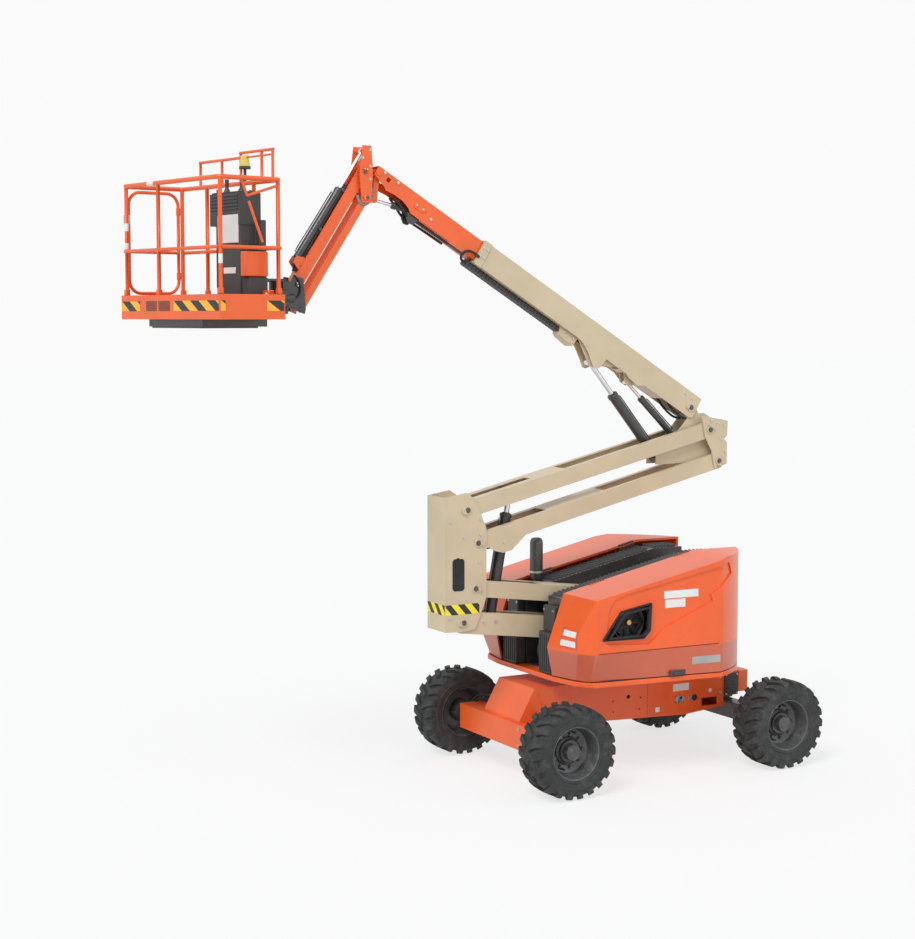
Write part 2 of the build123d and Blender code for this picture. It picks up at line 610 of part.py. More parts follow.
def upper_post():
    """The upper bracket: cheeks outside the links, a box between them for the lift cylinders, and the boom root lug."""
    x, z = POST_PIN
    outline = [(x - 98, z + 140), (x + 212, z + 84), (x + 205, z - 60), (x + 170, z - 90), (x + 205, z - 130),
               (x + 205, z - 335), (x + 60, z - 370), (x + 20, z - 200), (x - 60, z - 60)]
    cheeks = [slab(outline, *sorted((side * (POST_HALF - CHEEK), side * POST_HALF))) for side in (-1, 1)]
    back = box(x + 190, x + 202, -POST_HALF + CHEEK - 1, POST_HALF - CHEEK + 1, z - 330, z - 140)
    ears = []
    for side in (-1, 1):
        y0, y1 = sorted((side * EXT_HALF, side * (EXT_HALF - 14)))
        ears.append(slab([(x - 575, z - 320), (x - 455, z - 320), (x + 160, z - 300), (x + 160, z + 60),
                          (ROOT[0] + 170, ROOT[1] - 60), (ROOT[0] + 100, ROOT[1] - 60), (ROOT[0] + 60, ROOT[1] + 40), (ROOT[0] - 10, ROOT[1] + 55), (ROOT[0] - 60, ROOT[1] - 10),
                          (ROOT[0] - 30, ROOT[1] - 110), (x - 330, z - 20), (x - 575, z - 200)], y0, y1))
    tie = [box(x + 130, x + 160, -EXT_HALF + 1, EXT_HALF - 1, z - 290, z + 40),
           box(x + 84, x + 150, -POST_HALF + CHEEK - 1, POST_HALF - CHEEK + 1, z + 88, z + 100),
           box(x + 84, x + 150, -EXT_HALF + 1, EXT_HALF - 1, z + 30, z + 90)]
    pins = [pin(POST_PIN, PIN_RADIUS, POST_HALF), pin(POST_PIN_2, PIN_RADIUS, POST_HALF)]
    ram_pins = [disc(LIFT_RAM_BASE, PIN_RADIUS, -EXT_HALF + 5, EXT_HALF - 5),
                disc(LEVEL_RAM_BASE, 18, -EXT_HALF + 5, EXT_HALF - 5)]
    body = fuse(cheeks, back, ears, tie, pins, ram_pins)
    return body - disc(ROOT, PIN_RADIUS + FIT, -EXT_HALF - 5, EXT_HALF + 5)


# ------------------------------------------------------------------ main boom
BELLY = ((560, -90), (646, -137), (763, -124), (820, -104), (1080, -104), (1094, -200), (1128, -238), (1160, -242),
         (1186, -226), (1290, -150), (1380, -108), (1450, -92), (1450, -88), (560, -88))
FLY_TOP = BASE_TOP - BOOM_WALL - FLY_GAP
FLY_LOW = FLY_TOP - FLY_DEPTH
MOUTH_PAD = BASE_LENGTH - 80


def base_boom():
    low = BASE_TOP - BASE_DEPTH
    shell = slab([boom(*p) for p in ((-70, low + 20), (-70, BASE_TOP), (BASE_LENGTH, BASE_TOP), (BASE_LENGTH, low),
                                     (-30, low))], -BASE_HALF, BASE_HALF)
    inside = slab([boom(*p) for p in ((-100, low - 50), (-100, BASE_TOP - BOOM_WALL),
                                      (BASE_LENGTH + 10, BASE_TOP - BOOM_WALL),
                                      (BASE_LENGTH + 10, low + BOOM_WALL), (330, low + BOOM_WALL),
                                      (330, low - 50))], -BASE_HALF + BOOM_WALL, BASE_HALF - BOOM_WALL)
    body = shell - inside
    for start, end, half in ((560, 810, LEVEL_EYE_HALF + SIDE), (880, 1420, LIFT_EYE_HALF + SIDE)):
        body = body - slab([boom(*p) for p in ((start, low - 5), (end, low - 5), (end, low + 15), (start, low + 15))],
                           -half, half)
    lug = []
    for side in (-1, 1):
        y0, y1 = sorted((side * (LIFT_EYE_HALF + SIDE + 1), side * (LIFT_EYE_HALF + SIDE + 15)))
        lug.append(slab([boom(*p) for p in ((900, low + 1), (1420, low + 1), (LIFT_LUG[0] + 60, LIFT_LUG[1] - 20),
                                            (LIFT_LUG[0] + 20, LIFT_LUG[1] - 50), (LIFT_LUG[0] - 30, LIFT_LUG[1] - 45),
                                            (LIFT_LUG[0] - 70, LIFT_LUG[1] + 5))], y0, y1))
        lug.append(slab([boom(*p) for p in ((LEVEL_LUG[0] - 90, low + 1), (LEVEL_LUG[0] + 90, low + 1),
                                            (LEVEL_LUG[0] + 35, LEVEL_LUG[1] - 25),
                                            (LEVEL_LUG[0] - 35, LEVEL_LUG[1] - 25))],
                        *sorted((side * (LEVEL_EYE_HALF + SIDE + 1), side * (LEVEL_EYE_HALF + SIDE + 13)))))
        cheek = slab([boom(*p) for p in BELLY], *sorted((side * (BASE_HALF - BOOM_WALL), side * BASE_HALF)))
        lug.append(cheek)
    pads = []
    for side in (-1, 1):
        for n0, n1 in ((low + BOOM_WALL - 1, FLY_LOW - FIT), (FLY_TOP + FIT, BASE_TOP - BOOM_WALL + 1)):
            pads.append(slab([boom(*p) for p in ((MOUTH_PAD, n0), (MOUTH_PAD, n1), (BASE_LENGTH - 5, n1), (BASE_LENGTH - 5, n0))],
                             *sorted((side * 25, side * 70))))
        pads.append(slab([boom(*p) for p in ((MOUTH_PAD, -30), (MOUTH_PAD, 90), (BASE_LENGTH - 5, 90), (BASE_LENGTH - 5, -30))],
                         *sorted((side * (FLY_HALF + FIT), side * (BASE_HALF - BOOM_WALL + 1)))))
    root_pin = pin(ROOT, PIN_RADIUS, BASE_HALF)
    return fuse(body, lug, pads, root_pin)


def hose_carrier():
    """The black hose tray under the base boom."""
    low = BASE_TOP - BASE_DEPTH
    return slab([boom(*p) for p in ((1430, low - FIT), (2810, low - FIT), (2810, low - 44), (1430, low - 44))], -40, 40)


def fly_boom():
    top = FLY_TOP
    low = FLY_LOW
    start = FLY_TIP - FLY_LENGTH
    end = FLY_TIP + 30
    shell = slab([boom(*p) for p in ((start, low), (start, top), (end, top), (end, 34), (FLY_TIP - 40, 10),
                                     (FLY_TIP - 105, -6), (FLY_TIP - 134, -25), (FLY_TIP - 220, -12),
                                     (FLY_TIP - 320, -14), (FLY_TIP - 400, -36), (FLY_TIP - 440, low))],
                 -FLY_HALF, FLY_HALF)
    inside = slab([boom(*p) for p in ((start - 10, low + 7), (start - 10, top - 7), (end + 10, top - 7),
                                      (end + 10, low - 60), (FLY_TIP - 545, low - 60), (FLY_TIP - 545, low + 7))],
                  -FLY_HALF + 7, FLY_HALF - 7)
    body = shell - inside - slab([boom(*p) for p in ((3820, 46), (3858, 46), (3858, 84), (3820, 84))],
                                 -FLY_HALF - 5, FLY_HALF + 5)
    ram_pin = disc(SLAVE_RAM_BASE, 14, -FLY_HALF + 5, FLY_HALF - 5)
    return fuse(body, pin(FLY_PIN, 18, FLY_HALF, 8), ram_pin)


# ------------------------------------------------------------------ jib
JIB_LINK_INNER = JIB_HALF + 6
JIB_LINK_OUTER = JIB_LINK_INNER + 14
JIB_CHEEK_INNER = JIB_LINK_OUTER + 6
JIB_CHEEK_OUTER = JIB_CHEEK_INNER + 12
FLY_EAR_OUTER = FLY_HALF - 7 - SIDE


def jib_base():
    """The levelled bracket at the fly tip: ears inside the fly, cheeks outside the jib links."""
    fx, fz = FLY_PIN
    ears = []
    for side in (-1, 1):
        y0, y1 = sorted((side * 32, side * 48))
        ears.append(fuse(disc(FLY_PIN, 36, y0, y1), disc(SLAVE_PIN, 30, y0, y1), bar(FLY_PIN, SLAVE_PIN, 50, y0, y1),
                         bar(FLY_PIN, (fx - 78, fz), 56, y0, y1)))
    cheeks = []
    for side in (-1, 1):
        y0, y1 = sorted((side * JIB_CHEEK_INNER, side * JIB_CHEEK_OUTER))
        cheeks.append(slab([(JIB_RAM_PIN[0] + 40, JIB_RAM_PIN[1] + 45), (JIB_RAM_PIN[0] - 40, JIB_RAM_PIN[1] + 45),
                            (JIB_PIN[0] - 50, JIB_PIN[1] - 20), (JIB_PIN_2[0] - 50, JIB_PIN_2[1] - 45),
                            (JIB_PIN_2[0] + 35, JIB_PIN_2[1] - 50), (fx - 70, fz - 60), (fx - 70, fz + 70)], y0, y1))
        cheeks.append(disc(JIB_RAM_PIN, 22, *sorted((side * 27, side * (JIB_CHEEK_INNER + 1)))))
    web = box(fx - 82, fx - 70, -JIB_CHEEK_OUTER, JIB_CHEEK_OUTER, fz - 65, fz + 70)
    pins = [pin(JIB_PIN, JIB_PIN_RADIUS, JIB_CHEEK_OUTER, 6),
            *stubs(JIB_PIN_2, JIB_PIN_RADIUS, JIB_HALF + SIDE, JIB_CHEEK_OUTER, 6)]
    body = fuse(cheeks, web, ears, pins)
    return body - disc(FLY_PIN, 18 + FIT, -60, 60)


def jib_arm():
    p, q = JIB_PIN, HEAD_PIN
    body = fuse(bar(p, q, JIB_DEPTH, -JIB_HALF, JIB_HALF), [disc(p, JIB_DEPTH / 2, -JIB_HALF, JIB_HALF),
                                                           disc(q, JIB_DEPTH / 2, -JIB_HALF, JIB_HALF)])
    trough = slab([along(p, q, s, n) for s, n in ((-80, 37), (800, 37), (800, -80), (-80, -80))], -45, 45)
    ears = [slab([along(p, q, s, n) for s, n in ((920, -40), (1050, -40), (1010, -130), (950, -130))],
                 *sorted((side * (JIB_RAM_R + 4), side * (JIB_RAM_R + 16)))) for side in (-1, 1)]
    body = fuse(body - trough, ears, disc(JIB_RAM_BASE, JIB_PIN_RADIUS, -JIB_RAM_R - 10, JIB_RAM_R + 10))
    for centre in (p, q):
        body = body - disc(centre, JIB_PIN_RADIUS + FIT, -80, 80)
    return body


def jib_link():
    bars = []
    for side in (-1, 1):
        y0, y1 = sorted((side * JIB_LINK_INNER, side * JIB_LINK_OUTER))
        body = fuse(bar(JIB_PIN_2, HEAD_PIN_2, JIB_LINK_DEPTH, y0, y1),
                    [disc(p, JIB_LINK_DEPTH / 2, y0, y1) for p in (JIB_PIN_2, HEAD_PIN_2)])
        for p in (JIB_PIN_2, HEAD_PIN_2):
            body = body - disc(p, JIB_PIN_RADIUS + FIT, y0 - 5, y1 + 5)
        bars.append(body)
    return solids_of(bars)


def jib_head():
    """The lower bracket of the jib with the swivel body that turns the basket."""
    hx, hz = HEAD_PIN
    cheeks = [slab([(hx + 40, hz + 45), (hx - 60, hz + 60), (hx - 76, hz + 12), (hx - 120, hz + 12), (hx - 120, hz - 200),
                    (HEAD_PIN_2[0] + 30, HEAD_PIN_2[1] - 40), (HEAD_PIN_2[0] + 40, HEAD_PIN_2[1])],
                   *sorted((side * JIB_CHEEK_INNER, side * JIB_CHEEK_OUTER))) for side in (-1, 1)]
    body = pole(SWIVEL_X, 0, SWIVEL_RADIUS, HEAD_PIN_2[1] - 20, hz + 20)
    web = box(SWIVEL_X, hx - 62, -JIB_CHEEK_OUTER, JIB_CHEEK_OUTER, hz - 190, hz + 15)
    pins = [pin(HEAD_PIN, JIB_PIN_RADIUS, JIB_CHEEK_OUTER, 6),
            *stubs(HEAD_PIN_2, JIB_PIN_RADIUS, JIB_HALF + SIDE, JIB_CHEEK_OUTER, 6)]
    return fuse(cheeks, body, web, pins)


# ------------------------------------------------------------------ basket
def place(shape):
    """Moves a basket piece from its own frame, forward along -X from the swivel, to its place."""
    return Pos(SWIVEL_X, 0, 0) * Rot(0, 0, BASKET_TURN) * shape


X_BACK = -BASKET_BACK
X_FRONT = -BASKET_BACK - BASKET_DEPTH
Y_END = BASKET_WIDTH / 2
FLOOR_PLATE = 6.0
GATE_HINGE = (X_BACK - 3 * TUBE - 12, Y_END - TUBE - 1)
GATE_SENSE = 1


def platform_floor():
    z = BASKET_FLOOR_Z
    tray = box(X_FRONT, X_BACK, -Y_END, Y_END, z, z + KICK_HEIGHT)
    inside = box(X_FRONT + 4, X_BACK - 4, -Y_END + 4, Y_END - 4, z + FLOOR_PLATE, z + KICK_HEIGHT + 10)
    return tray - inside


def platform_support():
    """The two arms of the swivel, the mast between them, and the frame under the floor that the mast stands on."""
    z = BASKET_FLOOR_Z
    top = HEAD_PIN[1] + 20 + FIT
    low = HEAD_PIN_2[1] - 20 - FIT
    back = X_BACK + FIT
    arms = [fuse(pole(0, 0, SWIVEL_RADIUS, z0, z0 + 20), box(back + 60 + FIT, 0, -60, 60, z0, z0 + 20))
            for z0 in (top, low - 20)]
    upright = [box(back, back + 60, *sorted((side * 48, side * 60)), low - 20, top + 20) for side in (-1, 1)]
    mast = box(back, back + 12, -110, 110, z, top + 20)
    frame = box(X_FRONT + 60, X_BACK + 60, -420, 420, z - 60, z - FIT) - box(
        X_FRONT + 90, X_BACK - 30, -390, 390, z - 70, z + 5)
    cross = [box(X_FRONT + 61, X_BACK + 59, y - 20, y + 20, z - 59, z - 1) for y in (-130, 130)]
    return solids_of(fuse(mast, upright), fuse(frame, cross), arms)


def rail_loop(points, radius, bend):
    """A round tube along corner points, bent at each corner; it closes where it starts."""
    path = FilletPolyline(*points, radius=bend, close=True)
    start = path @ 0
    return sweep(Plane(origin=start, z_dir=path % 0) * Circle(radius), path=path)


def platform_rails():
    """The basket's rails: a bent top rail, the mid rails and the posts that carry them."""
    z = BASKET_FLOOR_Z
    inset = TUBE + 1
    x0, x1 = X_FRONT + inset, X_BACK - inset
    y0, y1 = -Y_END + inset, Y_END - inset
    low = z + KICK_HEIGHT + FIT
    top = z + RAIL_TOP - TUBE
    mid = z + RAIL_MID
    pieces = [rail_loop([(x0, y0, top), (x1, y0, top), (x1, y1, top), (x0, y1, top)], TUBE, 60.0)]
    for x, y in ((x0 + 18, y0 + 18), (x1 - 18, y0 + 18), (x0 + 18, y1 - 18), (x1 - 18, y1 - 18), (x0, 180),
                 (x1, -360), (x1, 360)):
        pieces.append(tube((x, y, low), (x, y, top), TUBE - 2))
    pieces += [tube((x0, y0 + 18, mid), (x0, y1 - 18, mid), TUBE - 4), tube((x1, y0 + 18, mid), (x1, y1 - 18, mid), TUBE - 4),
               tube((x0 + 18, y0, mid), (x1 - 18, y0, mid), TUBE - 4)]
    step, high = top + GUARD_LOW, top + GUARD_HIGH
    first, second, middle, fourth, last = GUARD_POSTS
    for y, height in ((first, step), (second, step), (middle, high), (fourth, high), (last, high)):
        pieces.append(tube((x1, y, top), (x1, y, height), GUARD_TUBE))
    pieces += [tube((x1, first + GUARD_TUBE, step), (x1, middle, step), GUARD_TUBE),
               tube((x1, middle + GUARD_TUBE, high), (x1, last - GUARD_TUBE, high), GUARD_TUBE),
               tube((x1, middle, step), (x1, last, step), GUARD_TUBE - 4)]
    return fuse(pieces)


def gate():
    """The entry gate at the far end of the basket: a rounded loop with a bar across it."""
    z = BASKET_FLOOR_Z
    y = Y_END - TUBE - 1
    x0 = X_FRONT + 3 * TUBE + 12
    x1 = X_BACK - 3 * TUBE - 12
    z0, z1 = z + KICK_HEIGHT + 20, z + RAIL_TOP - 3 * TUBE - 4
    loop = rail_loop([(x0, y, z0), (x1, y, z0), (x1, y, z1), (x0, y, z1)], GATE_TUBE, GATE_BEND)
    bars = [tube((x0, y, z + RAIL_MID), (x1, y, z + RAIL_MID), GATE_TUBE)]
    hinge = [tube((x1, y, h - 30), (x1, y, h + 30), GATE_TUBE + 4) for h in (z0 + GATE_BEND + 40, z1 - GATE_BEND - 40)]
    return fuse(loop, bars, hinge)


def console():
    z = BASKET_FLOOR_Z
    y = CONSOLE_Y
    upper = box(X_BACK - 250, X_BACK - 45, y - 330, y + 120, z + 760, z + 1020)
    stand = box(X_BACK - 75, X_BACK - 45, y - 300, y + 90, z + FLOOR_PLATE + FIT, z + 760)
    lower = box(X_BACK - 210, X_BACK - 75, y - 250, y + 20, z + 330, z + 560)
    return fuse(upper, stand, lower)


# ------------------------------------------------------------------ cylinders
def ram(base, eye, radius, closed, half, pin_radius):
    """A cylinder opened at its rod's eye: the barrel about its base pin, and the rod with its own pin stub.

    closed is the length that the barrel takes between the two pins when the rod is fully in.
    """
    length = math.dist(base, eye)
    barrel = strut(base, eye, radius, radius * 0.8, closed - radius * 0.9)
    lug = disc(base, radius * 0.85, -half, half)
    body = fuse(barrel, lug) - disc(base, pin_radius + FIT, -half - 5, half + 5)
    rod_r = radius * ROD_SHARE
    bore = strut(base, eye, rod_r + FIT, radius * 1.6 + pin_radius, closed)
    body = body - bore
    start = max(radius * 1.6 + pin_radius + 10, length - (closed - radius * 2.2 - pin_radius))
    rod = strut(base, eye, rod_r, start, length - rod_r * 0.5)
    rod_eye = disc(eye, radius * 0.8, -half, half)
    stub = disc(eye, pin_radius, -half - SIDE, half + SIDE)
    return body, fuse(rod, rod_eye, stub)


RAMS = {
    # name: (base pin, rod eye, barrel radius, closed length, half width of the eyes, pin radius)
    "tower": (TOWER_RAM_BASE, TOWER_RAM_EYE, TOWER_RAM_R, 1060.0, 40.0, PIN_RADIUS),
    "lift": (LIFT_RAM_BASE, LIFT_RAM_EYE, LIFT_RAM_R, 850.0, LIFT_EYE_HALF, PIN_RADIUS),
    "level": (LEVEL_RAM_BASE, LEVEL_RAM_EYE, LEVEL_RAM_R, 600.0, LEVEL_EYE_HALF, 18.0),
    "jib": (JIB_RAM_BASE, JIB_RAM_PIN, JIB_RAM_R, 780.0, 20.0, JIB_PIN_RADIUS),
    "slave": (SLAVE_RAM_BASE, SLAVE_PIN, SLAVE_RAM_R, 360.0, 20.0, 14.0),
}


def nodes():
    """Every node of the machine by name."""
    made = {
        "chassis_frame": chassis_frame(),
        "rear_hubs": rear_hubs(),
        "front_axle": front_axle(),
        "knuckle_left": knuckle(1),
        "knuckle_right": knuckle(-1),
        "tie_rod": tie_rod(),
        "turntable_deck": turntable_deck(),
        "tower_bracket": tower_bracket(),
        "channel": channel(),
        "engine_block": engine(),
        "counterweight": counterweight(),
        "exhaust": exhaust(),
        "hood_right": hood(-1),
        "hood_left": hood(1),
        "lower_arm": lower_arm(),
        "lower_link": lower_link(),
        "mid_post": mid_post(),
        "upper_arm": upper_arm(),
        "upper_link": upper_link(),
        "upper_post": upper_post(),
        "base_boom": base_boom(),
        "hose_carrier": hose_carrier(),
        "fly_boom": fly_boom(),
        "jib_base": jib_base(),
        "jib_arm": jib_arm(),
        "jib_link": jib_link(),
        "jib_head": jib_head(),
        "platform_floor": place(platform_floor()),
        "platform_support": place(platform_support()),
        "platform_rails": place(platform_rails()),
        "platform_console": place(console()),
        "gate": place(gate()),
    }
    for name, values in RAMS.items():
        made[name + "_barrel"], made[name + "_rod"] = ram(*values)
    for axle, x in (("rear", REAR_X), ("front", FRONT_X)):
        for label, side in (("left", 1), ("right", -1)):
            where = Pos(x, side * TRACK / 2, AXLE_Z)
            made[f"tyre_{axle}_{label}"] = where * tyre()
            made[f"rim_{axle}_{label}"] = where * rim(side)
    return made


def main():
    os.makedirs("parts", exist_ok=True)
    made = nodes()
    whole = Compound(children=[solids_of(shape) for shape in made.values()]).bounding_box()
    shift = Pos(-(whole.min.X + whole.max.X) / 2, -(whole.min.Y + whole.max.Y) / 2, -whole.min.Z)
    for name, shape in made.items():
        export_step(shift * solids_of(shape), f"parts/{name}.step")
    print("shift", shift.position, "size", whole.size)


if __name__ == "__main__":
    main()
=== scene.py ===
"""Dresses the articulating boom lift: finishes, tyres, fittings, hoses, basket, light and camera."""
import json
import logging
import math
from dataclasses import dataclass, field
from enum import Enum
from typing import Callable, Iterable, Optional, Sequence, Union

import bmesh
import bpy
from mathutils import Matrix, Vector
from mathutils.bvhtree import BVHTree


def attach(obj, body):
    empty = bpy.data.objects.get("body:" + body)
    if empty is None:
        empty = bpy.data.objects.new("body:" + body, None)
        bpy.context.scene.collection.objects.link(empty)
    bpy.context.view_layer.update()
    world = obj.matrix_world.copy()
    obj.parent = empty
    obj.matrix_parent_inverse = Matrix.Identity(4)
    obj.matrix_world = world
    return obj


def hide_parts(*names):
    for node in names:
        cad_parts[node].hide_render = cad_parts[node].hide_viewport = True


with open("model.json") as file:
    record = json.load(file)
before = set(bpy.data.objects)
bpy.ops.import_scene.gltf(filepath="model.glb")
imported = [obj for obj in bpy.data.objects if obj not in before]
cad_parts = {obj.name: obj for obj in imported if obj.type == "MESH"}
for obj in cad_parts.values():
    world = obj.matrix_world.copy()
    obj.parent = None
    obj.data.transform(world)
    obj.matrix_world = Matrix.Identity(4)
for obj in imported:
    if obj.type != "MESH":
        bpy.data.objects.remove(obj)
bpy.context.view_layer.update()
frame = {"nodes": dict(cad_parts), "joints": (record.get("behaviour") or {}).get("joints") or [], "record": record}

log = logging.getLogger("boom_lift")
Point = Sequence[float]
Number = Union[int, float]


# ---------------------------------------------------------------- shader maths
class Signal:
    """A number, colour or vector socket in a material, on which maths can be written."""

    def __init__(self, graph: "Graph", socket: bpy.types.NodeSocket) -> None:
        """Wraps one output socket of a graph."""
        self.graph = graph
        self.socket = socket

    def _math(self, operation: str, *values: Union["Signal", Number]) -> "Signal":
        """Adds one Math node."""
        return self.graph.node("ShaderNodeMath", {"operation": operation}, *values)

    def __add__(self, other: Union["Signal", Number]) -> "Signal":
        """Sum."""
        return self._math("ADD", self, other)

    def __sub__(self, other: Union["Signal", Number]) -> "Signal":
        """Difference."""
        return self._math("SUBTRACT", self, other)

    def __rsub__(self, other: Number) -> "Signal":
        """Difference from a plain number."""
        return self._math("SUBTRACT", other, self)

    def __mul__(self, other: Union["Signal", Number]) -> "Signal":
        """Product."""
        return self._math("MULTIPLY", self, other)

    def __truediv__(self, other: Union["Signal", Number]) -> "Signal":
        """Quotient."""
        return self._math("DIVIDE", self, other)

    __radd__ = __add__
    __rmul__ = __mul__

    def above(self, limit: Number) -> "Signal":
        """One where the value is above the limit."""
        return self._math("GREATER_THAN", self, limit)

    def fraction(self) -> "Signal":
        """The part after the decimal point."""
        return self._math("FRACT", self)

    def clamp(self) -> "Signal":
        """The value held between zero and one."""
        return self.graph.node("ShaderNodeClamp", {}, self)

    def ramp(self, low: float, high: float) -> "Signal":
        """A smooth step from zero at low to one at high."""
        settings = {"interpolation_type": "SMOOTHSTEP"}
        return self.graph.node("ShaderNodeMapRange", settings, self, low, high, 0.0, 1.0)


class Graph:
    """A material's node tree, built by code."""

    def __init__(self, name: str) -> None:
        """Makes an empty material of that name."""
        self.material = bpy.data.materials.new(name)
        self.material.use_nodes = True
        self.tree = self.material.node_tree
        self.tree.nodes.clear()

    def node(self, kind: str, settings: dict, *values: object, out: Union[int, str] = 0,
             **named: object) -> Signal:
        """Adds a node.

        Args:
            kind: the node's type.
            settings: its own properties, set before its inputs.
            values: values or signals of its inputs in order, None to skip one.
            out: the output that is returned.
            named: values or signals of inputs by name, with underscores for spaces.

        Returns:
            The chosen output.
        """
        made = self.tree.nodes.new(kind)
        for key, value in settings.items():
            setattr(made, key, value)
        for index, value in enumerate(values):
            if value is not None:
                self._feed(made.inputs[index], value)
        for key, value in named.items():
            self._feed(made.inputs[key.replace("_", " ")], value)
        return Signal(self, made.outputs[out])

    def _feed(self, socket: bpy.types.NodeSocket, value: object) -> None:
        """Links a signal to a socket or sets its value."""
        if isinstance(value, Signal):
            self.tree.links.new(value.socket, socket)
        elif isinstance(value, (tuple, list)) and len(value) == 3 and socket.type == "RGBA":
            socket.default_value = (*value, 1.0)
        else:
            socket.default_value = value

    def place(self) -> Signal:
        """The point's place on the object, in metres."""
        return self.node("ShaderNodeTexCoord", {}, out="Object")

    def uv(self) -> Signal:
        """The piece's own UV map."""
        return self.node("ShaderNodeTexCoord", {}, out="UV")

    def split(self, vector: Signal) -> tuple[Signal, Signal, Signal]:
        """The three parts of a vector."""
        parts = self.node("ShaderNodeSeparateXYZ", {}, vector)
        outputs = parts.socket.node.outputs
        return Signal(self, outputs[0]), Signal(self, outputs[1]), Signal(self, outputs[2])

    def noise(self, scale: float, detail: float = 3.0, roughness: float = 0.5,
              where: Optional[Signal] = None) -> Signal:
        """Soft noise between zero and one on the object's own coordinates."""
        return self.node("ShaderNodeTexNoise", {}, where or self.place(), Scale=scale, Detail=detail,
                         Roughness=roughness)

    def mix(self, factor: Union[Signal, float], a: object, b: object) -> Signal:
        """A colour between two colours."""
        made = self.tree.nodes.new("ShaderNodeMix")
        made.data_type = "RGBA"
        for index, value in ((0, factor), (6, a), (7, b)):
            self._feed(made.inputs[index], value)
        return Signal(self, made.outputs[2])

    def bump(self, height: Signal, strength: float, distance: float) -> Signal:
        """A normal from a height."""
        return self.node("ShaderNodeBump", {}, Height=height, Strength=strength, Distance=distance)

    def end(self, shader: Signal) -> bpy.types.Material:
        """Ends the material in a shader."""
        output = self.tree.nodes.new("ShaderNodeOutputMaterial")
        self.tree.links.new(shader.socket, output.inputs[0])
        return self.material

    def surface(self, **sockets: object) -> bpy.types.Material:
        """Ends the material in a Principled shader with these sockets."""
        return self.end(self.node("ShaderNodeBsdfPrincipled", {}, **sockets))


# ---------------------------------------------------------------- finishes
@dataclass(frozen=True)
class Enamel:
    """Sprayed machine enamel with dust low down, worn edges and, where a height is set, painted shade below it."""

    name: str
    colour: tuple[float, float, float]
    roughness: float = 0.38
    coat: float = 0.25
    dust: float = 0.12
    wear: float = 0.25
    # Height below which the colour is darkened as painted shade for a downward-facing skirt; zero for none.
    painted_shade_height: float = 0.0

    def build(self) -> bpy.types.Material:
        """Builds the material, with painted shade below the given height where one is set, for a skirt facing
        down.
        """
        graph = Graph(self.name)
        cloud = graph.noise(2.3, 4.0)
        grain = graph.noise(900.0, 1.0)
        darker = tuple(channel * 0.94 for channel in self.colour)
        lighter = tuple(min(1.0, channel * 1.03) for channel in self.colour)
        paint = graph.mix(cloud.ramp(0.35, 0.65), darker, lighter)
        height = graph.split(graph.place())[2]
        # Painted shade: below the height the paint is pulled towards a dim red-brown, for the skirt that tucks in
        # and faces down.
        if self.painted_shade_height:
            paint = graph.mix((1 - height.ramp(self.painted_shade_height - 0.012, self.painted_shade_height)) * 0.75, paint,
                              (0.50, 0.12, 0.07))
        low = 1 - height.ramp(0.25, 1.5)
        streaks = graph.noise(14.0, 5.0, 0.65)
        dusty = (low * 0.8 + 0.2) * streaks.ramp(0.45, 0.8) * self.dust
        paint = graph.mix(dusty, paint, (0.42, 0.36, 0.29))
        soft = graph.node("ShaderNodeBevel", {"samples": 4}, 0.004)
        hard = graph.node("ShaderNodeNewGeometry", {}, out="Normal")
        turn = graph.node("ShaderNodeVectorMath", {"operation": "DOT_PRODUCT"}, soft, hard, out="Value")
        edge = (1 - turn).ramp(0.02, 0.2) * graph.noise(60.0, 4.0, 0.7).ramp(0.5, 0.72)
        paint = graph.mix(edge * self.wear, paint, (0.75, 0.72, 0.68))
        rough = cloud * 0.1 + dusty * 0.9 + self.roughness
        normal = graph.bump(grain, 0.05, 0.0006)
        return graph.surface(Base_Color=paint, Roughness=rough.clamp(), Normal=normal, Coat_Weight=self.coat,
                             Coat_Roughness=0.18)


@dataclass(frozen=True)
class Rubber:
    """Dull rubber, with dry dust where the ground has rubbed it."""

    name: str
    colour: tuple[float, float, float] = (0.034, 0.036, 0.036)
    dust: float = 0.35

    def build(self) -> bpy.types.Material:
        """Builds the material."""
        graph = Graph(self.name)
        blotch = graph.noise(9.0, 6.0, 0.65)
        fine = graph.noise(160.0, 3.0)
        colour = graph.mix(blotch.ramp(0.42, 0.75) * self.dust, self.colour, (0.17, 0.16, 0.15))
        rough = 0.62 + blotch * 0.25
        return graph.surface(Base_Color=colour, Roughness=rough.clamp(),
                             Normal=graph.bump(fine, 0.25, 0.0012), Specular_IOR_Level=0.35)


@dataclass(frozen=True)
class Moulding:
    """Moulded black or dark plastic with a fine leather grain."""

    name: str
    colour: tuple[float, float, float]
    roughness: float = 0.5

    def build(self) -> bpy.types.Material:
        """Builds the material."""
        graph = Graph(self.name)
        cells = graph.node("ShaderNodeTexVoronoi", {}, graph.place(), Scale=420.0)
        cloud = graph.noise(5.0, 4.0)
        light = tuple(min(1.0, channel * 1.6 + 0.008) for channel in self.colour)
        colour = graph.mix(cloud.ramp(0.3, 0.8) * 0.5, self.colour, light)
        return graph.surface(Base_Color=colour, Roughness=(cloud * 0.16 + self.roughness).clamp(),
                             Normal=graph.bump(cells, 0.12, 0.0008))


@dataclass(frozen=True)
class Metal:
    """Bare metal with fine scratches."""

    name: str
    colour: tuple[float, float, float]
    roughness: float = 0.25
    scratch: float = 0.1

    def build(self) -> bpy.types.Material:
        """Builds the material."""
        graph = Graph(self.name)
        stretched = graph.node("ShaderNodeMapping", {}, graph.place(), Scale=(60.0, 60.0, 900.0))
        lines = graph.noise(1.0, 3.0, 0.6, stretched)
        cloud = graph.noise(12.0, 3.0)
        dark = tuple(channel * 0.75 for channel in self.colour)
        colour = graph.mix(cloud, dark, self.colour)
        rough = lines * self.scratch + cloud * 0.08 + self.roughness
        return graph.surface(Base_Color=colour, Metallic=1.0, Roughness=rough.clamp(),
                             Normal=graph.bump(lines, 0.06, 0.0004))


